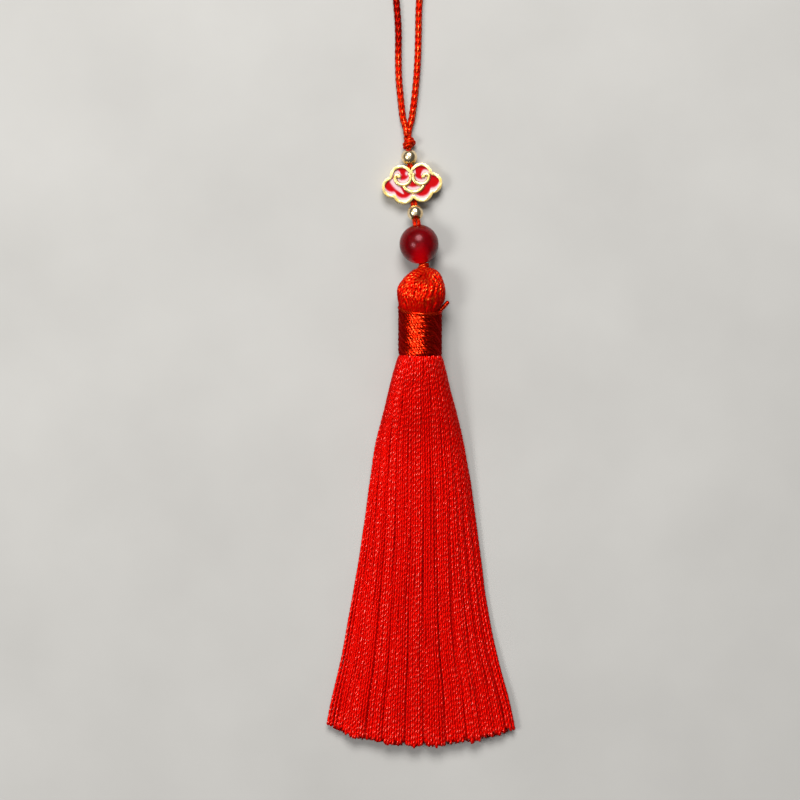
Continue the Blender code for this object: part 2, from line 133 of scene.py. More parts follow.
def smooth_value(places: Iterable[float], values: Iterable[float], at: np.ndarray) -> np.ndarray:
    """Read a table as a smooth curve through its rows.

    Args:
        places: Where the rows are, rising.
        values: The rows' values.
        at: Where to read.

    Returns:
        The values at those places.
    """
    known = np.asarray(list(places), float)
    rows = np.asarray(list(values), float)
    slopes = np.gradient(rows, known)
    index = np.clip(np.searchsorted(known, at) - 1, 0, len(known) - 2)
    span = known[index + 1] - known[index]
    t = np.clip((at - known[index]) / span, 0, 1)
    rise = t * t * (3 - 2 * t)
    start = (t - 1) ** 2 * t * span * slopes[index]
    end = t * t * (t - 1) * span * slopes[index + 1]
    return rows[index] * (1 - rise) + rows[index + 1] * rise + start + end


def smooth_step(value: np.ndarray) -> np.ndarray:
    """Ease a value from 0 to 1, and hold it there on both sides."""
    t = np.clip(value, 0, 1)
    return t * t * (3 - 2 * t)


@dataclass(frozen=True)
class Ease:
    """A change that eases in between two places."""

    start: float
    end: float

    def at(self, value: np.ndarray) -> np.ndarray:
        """Read the change from 0 at its start to 1 at its end."""
        return smooth_step((value - self.start) / (self.end - self.start))


@dataclass(frozen=True)
class Oval:
    """An oval spot that fades out all round."""

    x: float
    y: float
    half_x: float
    half_y: float

    def at(self, x: np.ndarray, y: np.ndarray) -> np.ndarray:
        """Read the spot from 1 in its middle to 0 far outside it."""
        return np.exp(-((x - self.x) / self.half_x) ** 2 - ((y - self.y) / self.half_y) ** 2)


def ripple(place: np.ndarray, waves: Iterable[Wave]) -> np.ndarray:
    """Add up sine waves.

    Args:
        place: Where to read them.
        waves: The waves. A start may also be an array that gives each line its own.

    Returns:
        The sum there.
    """
    return sum(size * np.sin(rate * place + start) for size, rate, start in waves)


def run_length(points: np.ndarray) -> np.ndarray:
    """Measure how far along their line points lie.

    Args:
        points: Points of one line, or by line and ring.

    Returns:
        Each point's distance along its line from the first one.
    """
    steps = np.linalg.norm(np.diff(points, axis=-2), axis=-1)
    return np.concatenate([np.zeros((*steps.shape[:-1], 1)), np.cumsum(steps, axis=-1)], axis=-1)


def along_route(route: np.ndarray, spacing: float) -> np.ndarray:
    """Space points evenly along a smooth curve through a route.

    Args:
        route: The route's points, one row each.
        spacing: The distance wanted between points.

    Returns:
        The points, one row each.
    """
    known = run_length(route)
    fine = np.linspace(0, known[-1], 40 * len(route))
    dense = np.stack([smooth_value(known, axis, fine) for axis in route.T], axis=1)
    reached = run_length(dense)
    even = np.linspace(0, reached[-1], max(3, round(reached[-1] / spacing) + 1))
    return np.stack([np.interp(even, reached, axis) for axis in dense.T], axis=1)


def unit(vectors: np.ndarray) -> np.ndarray:
    """Scale vectors to length 1."""
    return vectors / np.maximum(np.linalg.norm(vectors, axis=-1, keepdims=True), 1e-9)


def link_piece(mesh: bpy.types.Mesh, tones: np.ndarray) -> bpy.types.Object:
    """Make a smooth object of a mesh, at the origin and of the same name.

    Args:
        mesh: The mesh.
        tones: Its attribute "tone": the shade of each point from 0 to 1.

    Returns:
        The new object.
    """
    tone = mesh.attributes.new("tone", "FLOAT", "POINT")
    tone.data.foreach_set("value", tones.astype(np.float32))
    mesh.shade_smooth()
    piece = bpy.data.objects.new(mesh.name, mesh)
    bpy.context.scene.collection.objects.link(piece)
    return piece


def dress(piece: bpy.types.Object, material: bpy.types.Material, node: str) -> None:
    """Give a piece its material and its body, and hide the solid that it replaces.

    Args:
        piece: The finished object.
        material: Its material.
        node: The solid that it replaces.
    """
    piece.data.materials.clear()
    piece.data.materials.append(material)
    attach(piece, BODY)
    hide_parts(node)
    triangles = sum(len(face.vertices) - 2 for face in piece.data.polygons)
    LOG.info("%s: %d triangles", piece.name, triangles)


# ---- tubes: yarns and cords, as joined meshes from arrays
class Section(Enum):
    """How far a tube's surface lies from its middle, round one turn, as shares of its radius."""

    TWO_PLY = (1.0, 0.93, 0.80, 0.93, 1.0, 0.93, 0.80, 0.93)
    FIVE_PLY = (1.0, 0.94, 0.76, 0.94) * 5
    TWO_PLY_COARSE = (1.0, 0.78, 0.78, 1.0, 0.78, 0.78)
    ROUND = (1.0, 1.0, 1.0, 1.0, 1.0, 1.0)


class TubeMesh:
    """Collects tubes and joins them into one mesh with closed ends.

    The UV map "thread" has turns round the tube in U and centimetres along it in V, and the
    attribute "tone" is the shade of each point from 0 to 1.
    """

    steep: float = 0.8  # a tube that rises more than this starts its rings from X, and others from Z
    cap_uv: float = 0.25  # both coordinates of the closed ends

    def __init__(self) -> None:
        """Start with no tubes."""
        self.points: list[np.ndarray] = []
        self.faces: list[np.ndarray] = []
        self.uvs: list[np.ndarray] = []
        self.tones: list[np.ndarray] = []
        self.count = 0

    def add(
        self, centres: np.ndarray, radii: np.ndarray, profile: np.ndarray,
        turns: np.ndarray, tones: np.ndarray,
    ) -> None:
        """Add tubes that have the same number of rings.

        Args:
            centres: Middle points by tube and ring, in millimetres.
            radii: Radius by tube and ring.
            profile: Share of the radius, round each ring, or by tube, ring and side.
            turns: Angle that each ring is turned by, by tube and ring.
            tones: Shade by tube and ring, or by tube, ring and side.
        """
        sides = profile.shape[-1]
        tubes, rings = radii.shape
        along = unit(np.gradient(centres, axis=1))
        seed = np.where(np.abs(along[:, :1, 2:]) < self.steep, (0.0, 0.0, 1.0), (1.0, 0.0, 0.0))
        side = np.empty_like(along)
        side[:, 0] = unit(np.cross(seed[:, 0], along[:, 0]))
        for ring in range(1, rings):
            carried = side[:, ring - 1]
            lost = np.sum(carried * along[:, ring], axis=-1, keepdims=True)
            side[:, ring] = unit(carried - along[:, ring] * lost)
        rise = np.cross(along, side)

        angles = math.tau * np.arange(sides) / sides + turns[..., None]
        reach = radii[..., None] * profile
        points = (
            centres[:, :, None, :]
            + (reach * np.cos(angles))[..., None] * side[:, :, None, :]
            + (reach * np.sin(angles))[..., None] * rise[:, :, None, :]
        )

        grid = np.arange(tubes * rings * sides).reshape(tubes, rings, sides) + self.count
        after = np.roll(grid, -1, axis=2)
        walls = np.stack([grid[:, :-1], after[:, :-1], after[:, 1:], grid[:, 1:]], axis=-1)
        caps = []
        for step in range(sides // 2 - 1):
            corners = (step, step + 1, sides - 2 - step, sides - 1 - step)
            caps.append(grid[:, -1][:, corners])
            caps.append(grid[:, 0][:, corners[::-1]])

        reached = run_length(centres) / 10  # in centimetres
        low = np.arange(sides) / sides
        high = low + 1 / sides
        wall_uv = np.empty((tubes, rings - 1, sides, 4, 2))
        wall_uv[..., 0, 0] = wall_uv[..., 3, 0] = low
        wall_uv[..., 1, 0] = wall_uv[..., 2, 0] = high
        wall_uv[..., 0, 1] = wall_uv[..., 1, 1] = reached[:, :-1, None]
        wall_uv[..., 2, 1] = wall_uv[..., 3, 1] = reached[:, 1:, None]
        cap_count = tubes * len(caps) * 4

        self.points.append(points.reshape(-1, 3))
        self.faces.append(walls.reshape(-1, 4))
        self.faces.append(np.concatenate(caps).reshape(-1, 4))
        self.uvs.append(wall_uv.reshape(-1, 2))
        self.uvs.append(np.full((cap_count, 2), self.cap_uv))
        shades = tones if tones.ndim == 3 else tones[..., None]
        self.tones.append(np.broadcast_to(shades, (tubes, rings, sides)).reshape(-1))
        self.count += points.size // 3

    def build(self, name: str) -> bpy.types.Object:
        """Join the tubes into one object at the origin.

        Args:
            name: The object's name.

        Returns:
            The new object, in metres.
        """
        points = np.concatenate(self.points) * MM
        faces = np.concatenate(self.faces)
        mesh = bpy.data.meshes.new(name)
        mesh.vertices.add(len(points))
        mesh.vertices.foreach_set("co", points.astype(np.float32).ravel())
        mesh.loops.add(faces.size)
        mesh.loops.foreach_set("vertex_index", faces.astype(np.int32).ravel())
        mesh.polygons.add(len(faces))
        mesh.polygons.foreach_set("loop_start", np.arange(0, faces.size, 4, dtype=np.int32))
        mesh.update(calc_edges=True)
        layer = mesh.uv_layers.new(name="thread")
        layer.data.foreach_set("uv", np.concatenate(self.uvs).astype(np.float32).ravel())
        return link_piece(mesh, np.concatenate(self.tones))


@dataclass(frozen=True)
class Yarn:
    """A twisted silk yarn."""

    radius: float = 0.46
    pitch: float = 0.68  # between yarns that lie side by side
    ply_pitch: float = 2.8  # length of one full turn of its plies
    spacing: float = 0.33  # between rings of its mesh
    end_share: float = 0.55  # radius of a cut end, against the rest
    # the twist is uneven: size in radians, millimetres for each radian, and start in yarn's starts
    uneven_twist: tuple[Wave, ...] = ((0.55, 1.15, 3), (0.35, 0.52, 7))

    def spin(
        self, mesh: TubeMesh, centres: np.ndarray, phases: np.ndarray, tones: np.ndarray,
        section: Section = Section.TWO_PLY, share: float | np.ndarray = 1.0,
        relief: float | np.ndarray = 1.0,
    ) -> None:
        """Add yarns along centre lines, with rounded cut ends.

        Args:
            mesh: The mesh that collects them.
            centres: Middle points by yarn and ring.
            phases: Each yarn's starting turn, in radians.
            tones: Each yarn's shade, or its shade by ring.
            section: The outline round the yarn.
            share: Radius as a share of the yarn's own, alone or by yarn and ring.
            relief: How deep its plies show, alone or by yarn and ring: 0 where pressed smooth.
        """
        shape = centres.shape[:2]
        reached = run_length(centres)
        turns = math.tau * reached / self.ply_pitch + phases[:, None]
        for swing, stretch, shift in self.uneven_twist:
            turns = turns + swing * np.sin(reached / stretch + shift * phases[:, None])
        radii = np.broadcast_to(np.asarray(share, float), shape) * self.radius
        radii[:, [0, -1]] *= self.end_share
        shades = np.broadcast_to(tones if tones.ndim == 2 else tones[:, None], shape)
        depth = np.broadcast_to(np.asarray(relief, float), shape)[..., None]
        mesh.add(centres, radii, 1 - (1 - np.array(section.value)) * depth, turns, shades)


@dataclass(frozen=True)
class Braid:
    """A round cord braided from eight strands, as a relief on one closed tube."""

    strands: int = 8
    pitch: float = 1.75  # between strands that run the same way, along the cord
    relief: float = 0.24  # depth of the crossings as a share of the radius
    fall_across: float = 3.2  # how fast a strand rounds off towards its sides
    fall_along: float = 2.2  # and towards the crossings where it goes under
    end_share: float = 0.6  # radius of the ends, against the rest
    turned: float = 0.45  # painted shade on the strands that run across the light, against the others
    sides: int = 32
    spacing: float = 0.15

    def lay(self, mesh: TubeMesh, centres: np.ndarray, radii: np.ndarray, tones: np.ndarray) -> None:
        """Add one braided cord along a centre line.

        Args:
            mesh: The mesh that collects it.
            centres: Middle points, one row each.
            radii: Radius at each point.
            tones: Shade at each point.
        """
        reached = run_length(centres)[:, None]
        round_cord = (np.arange(self.sides) / self.sides)[None, :] * self.strands / 2
        rising = round_cord + reached / self.pitch
        falling = round_cord - reached / self.pitch
        over = (np.floor(rising) + np.floor(falling)) % 2 == 0
        across = np.where(over, rising, falling) % 1 - 0.5
        along = np.where(over, falling, rising) % 1 - 0.5
        height = 1 - self.relief * np.minimum(
            1, self.fall_across * across ** 2 + self.fall_along * along ** 2)
        ends = np.ones(len(centres))
        ends[[0, -1]] = self.end_share
        # painted shade: the strands that run across the light are painted darker
        shades = tones[:, None] * np.where(over, 1.0, self.turned)
        mesh.add(
            centres[None], (radii * ends)[None], height[None],
            np.zeros((1, len(centres))), shades[None],
        )


# ---- finishes
@dataclass(frozen=True)
class SilkFinish:
    """Dyed silk yarn: filaments laid side by side, with a bright streak across each ply, painted shade in
    the grooves between plies and a painted glint colour in small spots.
    """

    name: str
    light: str = "#D00802"
    dark: str = "#B20401"
    # colour of the painted shade in the grooves between plies
    painted_groove_shade: str = "#AC0401"
    roughness: float = 0.40
    fibre_gloss: float = 0.5  # share of the light that the dyed fibres return as coloured gloss
    filaments: float = 14.0  # lines round one yarn, coarser than silk's so that they show
    coat: float = 0.42  # clear finish on the filaments, which gives small pale glints
    specular_and_painted_glint: str = "#FFA080"  # colour of the light that glances off single filaments, used as the specular tint and as the painted glint
    flare: float = 0.05  # how far that colour is painted into the base colour as a painted glint, in a spot where they lie flat
    plies: int = 2
    dull: float = 0.0  # roughness added where the yarn is pressed and its tone is low

    def build(self) -> bpy.types.Material:
        """Make the material."""
        material, tree = new_material(self.name)
        tone = add_node(tree, "Attribute", attribute_name="tone").outputs["Fac"]
        place = add_node(tree, "TexCoord").outputs["Object"]
        uv = add_node(tree, "UVMap", uv_map="thread").outputs["UV"]
        # dye takes unevenly over 6 mm or so along the yarns
        cloudy = add_node(tree, "TexNoise", {"Vector": place, "Scale": 160.0, "Detail": 2.0})
        # the tone holds each yarn's own tone and, on the head, the binding and the braids, painted light
        # and shade
        mixed = add_node(
            tree, "Math", {0: cloudy.outputs["Fac"], 1: 0.35, 2: tone}, operation="MULTIPLY_ADD")
        dye = add_node(
            tree, "ValToRGB", {"Fac": mixed.outputs[0]}, stops=((0.10, self.dark), (1.0, self.light)))
        # painted shade: the groove between plies is painted darker, as often round the yarn as there are
        # plies
        parts = add_node(tree, "SeparateXYZ", {0: uv})
        turn = add_node(
            tree, "Math", {0: parts.outputs["X"], 1: self.plies * math.tau}, operation="MULTIPLY")
        wave = add_node(tree, "Math", {0: turn.outputs[0]}, operation="COSINE")
        depth = add_node(
            tree, "MapRange", {"Value": wave.outputs[0], "From Min": -1.0, "From Max": 0.2,
                               "To Min": 1.0, "To Max": 0.0})
        colour = add_node(
            tree, "Mix", {0: depth.outputs[0], 6: dye.outputs["Color"], 7: linear(self.painted_groove_shade)},
            data_type="RGBA")
        # the filaments lie flat and shine in places about 0.7 mm apart
        flat = add_node(tree, "TexNoise", {"Vector": place, "Scale": 1400.0, "Detail": 1.0})
        gloss = add_node(
            tree, "MapRange", {"Value": flat.outputs["Fac"], "From Min": 0.35, "From Max": 0.65,
                               "To Min": self.roughness - 0.08, "To Max": self.roughness + 0.08})
        # light glances off the crown of a ply, in single spots 0.7 mm or so apart, where the
        # filaments lie flatter and shine more, but less where the yarn's tone is low
        crown = add_node(tree, "MapRange", {"Value": wave.outputs[0], "From Min": 0.2, "From Max": 0.9})
        spots = add_node(tree, "TexNoise", {"Vector": place, "Scale": 1500.0, "Detail": 0.0})
        bare = add_node(
            tree, "MapRange", {"Value": spots.outputs["Fac"], "From Min": 0.43, "From Max": 0.55})
        open_yarn = add_node(
            tree, "MapRange", {"Value": tone, "From Min": 0.15, "From Max": 0.5,
                               "To Min": 0.08, "To Max": 1.0})
        flat_crown = add_node(
            tree, "Math", {0: crown.outputs[0], 1: bare.outputs[0]}, operation="MULTIPLY")
        caught = add_node(
            tree, "Math", {0: flat_crown.outputs[0], 1: open_yarn.outputs[0]}, operation="MULTIPLY")
        # painted glint: the glint colour is mixed into the base colour at these spots
        painted_glint_mask = add_node(tree, "Math", {0: caught.outputs[0], 1: self.flare}, operation="MULTIPLY")
        with_painted_glint = add_node(
            tree, "Mix", {0: painted_glint_mask.outputs[0], 6: colour.outputs[2], 7: linear(self.specular_and_painted_glint)},
            data_type="RGBA")
        coat = add_node(tree, "Math", {0: caught.outputs[0], 1: self.coat}, operation="MULTIPLY")
        glance = add_node(
            tree, "MapRange", {"Value": caught.outputs[0], "To Min": 0.05, "To Max": 1.0})
        stretched = add_node(
            tree, "Mapping", {"Vector": uv, "Scale": (self.filaments, 3.0, 1.0)})
        lines = add_node(
            tree, "TexNoise", {"Vector": stretched.outputs["Vector"], "Scale": 1.0, "Detail": 2.0,
                               "Roughness": 0.6})
        fine = add_node(
            tree, "Bump", {"Height": lines.outputs["Fac"], "Strength": 0.35, "Distance": 0.00004})
        bump = add_node(
            tree, "Bump", {"Height": flat.outputs["Fac"], "Strength": 0.4, "Distance": 0.00015,
                           "Normal": fine.outputs["Normal"]})
        dulled = add_node(
            tree, "MapRange", {"Value": open_yarn.outputs[0], "To Min": self.dull, "To Max": 0.0})
        settled = add_node(tree, "Math", {0: gloss.outputs[0], 1: dulled.outputs[0]}, operation="ADD")
        smooth = add_node(
            tree, "Math", {0: caught.outputs[0], 1: -0.1, 2: settled.outputs[0]}, operation="MULTIPLY_ADD")
        shader = add_node(tree, "BsdfPrincipled", {
            "Base Color": with_painted_glint.outputs[2],
            "Roughness": smooth.outputs[0],
            "Metallic": self.fibre_gloss,
            "IOR": 1.54,
            "Specular IOR Level": glance.outputs[0],
            "Specular Tint": linear(self.specular_and_painted_glint),
            "Coat Weight": coat.outputs[0],
            "Coat Roughness": 0.13,
            "Coat IOR": 1.5,
            "Normal": bump.outputs["Normal"],
            "Coat Normal": bump.outputs["Normal"],
        })
        add_node(tree, "OutputMaterial", {"Surface": shader.outputs[0]})
        return material


@dataclass(frozen=True)
class StoneFinish:
    """Frosted red agate: sand-blasted, so its gloss is soft and light goes into it."""

    name: str = "frosted_agate"
    deep: str = "#540002"
    pale: str = "#660006"
    # colour of the painted glow
    clear: str = "#EE0012"
    painted_glow: Point = (0.1, 44.2, 5.6)  # middle of the painted glow, in millimetres
    painted_glow_reach: Point = (3.2, 7.6, 6.0)

    def build(self) -> bpy.types.Material:
        """Make the material."""
        material, tree = new_material(self.name)
        place = add_node(tree, "TexCoord").outputs["Object"]
        cloudy = add_node(tree, "TexNoise", {"Vector": place, "Scale": 260.0, "Detail": 3.0})
        colour = add_node(
            tree, "ValToRGB", {"Fac": cloudy.outputs["Fac"]}, stops=((0.35, self.deep), (0.7, self.pale)))
        # painted glow: a brighter red painted through the lower end stands in for light that comes out
        # through the stone
        near = add_node(tree, "Mapping", {
            "Vector": place, "Location": [value * MM for value in self.painted_glow],
            "Scale": [value * MM for value in self.painted_glow_reach]}, vector_type="TEXTURE")
        painted_glow = add_node(tree, "TexGradient", {"Vector": near.outputs["Vector"]}, gradient_type="SPHERICAL")
        with_painted_glow = add_node(
            tree, "Mix", {0: painted_glow.outputs["Fac"], 6: colour.outputs["Color"], 7: linear(self.clear)},
            data_type="RGBA")
        # the blasted skin is pitted at about a tenth of a millimetre
        pits = add_node(tree, "TexNoise", {"Vector": place, "Scale": 9000.0, "Detail": 1.0})
        bump = add_node(
            tree, "Bump", {"Height": pits.outputs["Fac"], "Strength": 0.08, "Distance": 0.00002})
        shader = add_node(tree, "BsdfPrincipled", {
            "Base Color": with_painted_glow.outputs[2],
            "Roughness": 0.24,
            "IOR": 1.54,
            "Specular IOR Level": 0.19,
            "Specular Tint": linear("#FFB4BC"),
            "Transmission Weight": 0.1,
            "Subsurface Weight": 0.6,
            "Subsurface Radius": (1.0, 0.1, 0.1),
            "Subsurface Scale": 0.003,
            "Normal": bump.outputs["Normal"],
        })
        add_node(tree, "OutputMaterial", {"Surface": shader.outputs[0]})
        return material


@dataclass(frozen=True)
class MetalFinish:
    """Plated brass: polished where it is touched, a little duller and darker in its pits."""

    name: str
    bright: str
    dull: str
    roughness: float

    def build(self) -> bpy.types.Material:
        """Make the material."""
        material, tree = new_material(self.name)
        place = add_node(tree, "TexCoord").outputs["Object"]
        worn = add_node(tree, "TexNoise", {"Vector": place, "Scale": 900.0, "Detail": 4.0})
        colour = add_node(
            tree, "ValToRGB", {"Fac": worn.outputs["Fac"]}, stops=((0.35, self.dull), (0.6, self.bright)))
        gloss = add_node(
            tree, "MapRange", {"Value": worn.outputs["Fac"], "From Min": 0.3, "From Max": 0.7,
                               "To Min": self.roughness * 1.4, "To Max": self.roughness * 0.8})
        # casting grain of about a fifth of a millimetre
        grain = add_node(tree, "TexNoise", {"Vector": place, "Scale": 5000.0, "Detail": 2.0})
        bump = add_node(
            tree, "Bump", {"Height": grain.outputs["Fac"], "Strength": 0.03, "Distance": 0.00002})
        shader = add_node(tree, "BsdfPrincipled", {
            "Base Color": colour.outputs["Color"],
            "Metallic": 1.0,
            "Roughness": gloss.outputs[0],
            "Normal": bump.outputs["Normal"],
        })
        add_node(tree, "OutputMaterial", {"Surface": shader.outputs[0]})
        return material


@dataclass(frozen=True)
class EnamelFinish:
    """Soft glass enamel, red, turning milky pink at the lower edge of each field."""

    name: str = "painted_enamel"

    def build(self) -> bpy.types.Material:
        """Make the material."""
        material, tree = new_material(self.name)
        fade = add_node(tree, "Attribute", attribute_name="fade").outputs["Fac"]
        place = add_node(tree, "TexCoord").outputs["Object"]
        brushed = add_node(tree, "TexNoise", {"Vector": place, "Scale": 2600.0, "Detail": 2.0})
        uneven = add_node(
            tree, "Math", {0: brushed.outputs["Fac"], 1: 0.22, 2: fade}, operation="MULTIPLY_ADD")
        colour = add_node(tree, "ValToRGB", {"Fac": uneven.outputs[0]}, stops=(
            (0.20, "#A00003"), (0.95, "#BCA0A4"), (0.45, "#A81422"), (0.70, "#B06874")))
        shader = add_node(tree, "BsdfPrincipled", {
            "Base Color": colour.outputs["Color"],
            "Roughness": 0.16,
            "IOR": 1.5,
            "Specular IOR Level": 0.15,
        })
        add_node(tree, "OutputMaterial", {"Surface": shader.outputs[0]})
        return material


@dataclass(frozen=True)
class FloorFinish:
    """Matt pale plaster board, plain but for a faint mottle."""

    name: str = "pale_board"

    def build(self) -> bpy.types.Material:
        """Make the material."""
        material, tree = new_material(self.name)
        place = add_node(tree, "TexCoord").outputs["Object"]
        mottle = add_node(tree, "TexNoise", {"Vector": place, "Scale": 24.0, "Detail": 5.0})
        colour = add_node(
            tree, "ValToRGB", {"Fac": mottle.outputs["Fac"]}, stops=((0.3, "#999793"), (0.7, "#A09E9A")))
        shader = add_node(
            tree, "BsdfPrincipled", {"Base Color": colour.outputs["Color"], "Roughness": 0.85})
        add_node(tree, "OutputMaterial", {"Surface": shader.outputs[0]})
        return material


# ---- hanging loop
@dataclass
class HangingLoop:
    """The free cord, out of the upper knot and back into it."""

    # the same route as the solid's, in metres
    route: tuple[Point, ...] = (
        (-0.00370, 0.07635, 0.00155), (-0.00395, 0.07850, 0.00120), (-0.00428, 0.08100, 0.00092),
        (-0.00480, 0.08575, 0.00086), (-0.00530, 0.09125, 0.00086), (-0.00542, 0.09675, 0.00086),
        (-0.00540, 0.10225, 0.00086), (-0.00590, 0.11025, 0.00086), (-0.00685, 0.11800, 0.00086),
        (-0.00775, 0.12600, 0.00086), (-0.00795, 0.13400, 0.00086), (-0.00700, 0.14150, 0.00086),
        (-0.00480, 0.14730, 0.00086), (-0.00180, 0.14960, 0.00086), (0.00125, 0.14840, 0.00086),
        (0.00325, 0.14400, 0.00086), (0.00380, 0.13750, 0.00086), (0.00305, 0.13000, 0.00086),
        (0.00175, 0.12300, 0.00086), (0.00060, 0.11650, 0.00086), (-0.00015, 0.11025, 0.00086),
        (-0.00038, 0.10225, 0.00086), (-0.00052, 0.09675, 0.00086), (-0.00085, 0.09125, 0.00086),
        (-0.00140, 0.08575, 0.00086), (-0.00202, 0.08100, 0.00092), (-0.00230, 0.07850, 0.00120),
        (-0.00242, 0.07635, 0.00155),
    )
    radius: float = 0.90
    end_share: float = 0.78  # the cord is pulled thin at the knot
    taper: float = 4.0
    pair_x: float = -3.12  # the two runs close up here above the knot, one over the other
    pair_rise: float = 0.8  # of the left run over the right one
    closing: Ease = Ease(77.7, 81.5)  # where along Y the runs part
    tone: float = 0.85
    darker_y: Ease = Ease(95, 101)  # the far part of the left run is darker
    darker_end: Ease = Ease(0.36, 0.46)  # up to this share of the whole loop
    path_step: int = 8  # rings for each point of the route
    braid: Braid = Braid()

    def build(self, material: bpy.types.Material) -> None:
        """Args:
            material: The cord's material.
        """
        centres = along_route(np.array(self.route) / MM, self.braid.spacing)
        reached = run_length(centres)
        ends = np.minimum(reached, reached[-1] - reached) / self.taper
        radii = self.radius * (self.end_share + (1 - self.end_share) * smooth_step(ends))
        close = 1 - self.closing.at(centres[:, 1])
        left = centres[:, 0] < self.pair_x
        centres[:, 0] += (self.pair_x - centres[:, 0]) * 0.5 * close
        centres[:, 2] += self.pair_rise * close * left
        darker_run = self.darker_y.at(centres[:, 1]) * (1 - self.darker_end.at(reached / reached[-1]))
        tones = self.tone * (1 - darker_run)
        centres[:, 2] = np.maximum(centres[:, 2], radii)
        mesh = TubeMesh()
        self.braid.lay(mesh, centres, radii, tones)
        loop = mesh.build("hanging_loop")
        dress(loop, material, "cord_loop")
        LOG.info("loop length %.1f mm", reached[-1])


# ---- skirt
@dataclass(frozen=True)
class Lock:
    """A lock of yarns that keeps together at the hem."""

    yarns: int
    gap: float  # to the next lock, at the hem
    shortfall: float
    lift: float
    spread: float = 1.0  # distance between its yarns, against the usual


@dataclass(frozen=True)
class Fan:
    """A cross-section of the skirt."""

    y: float
    left: float
    right: float
    height: float
    lift: float
    roundness: float


@dataclass(frozen=True)
class Layer:
    """A layer of the skirt's yarns, from the lowest to the one that shows."""

    side: int  # -1 below the middle of the round root, 1 above it
    reach: float  # share of the root's radius
    level: float  # share of the height at the hem
    section: Section
    spacing: float
    play: float  # how far its yarns rise and sink, against the usual


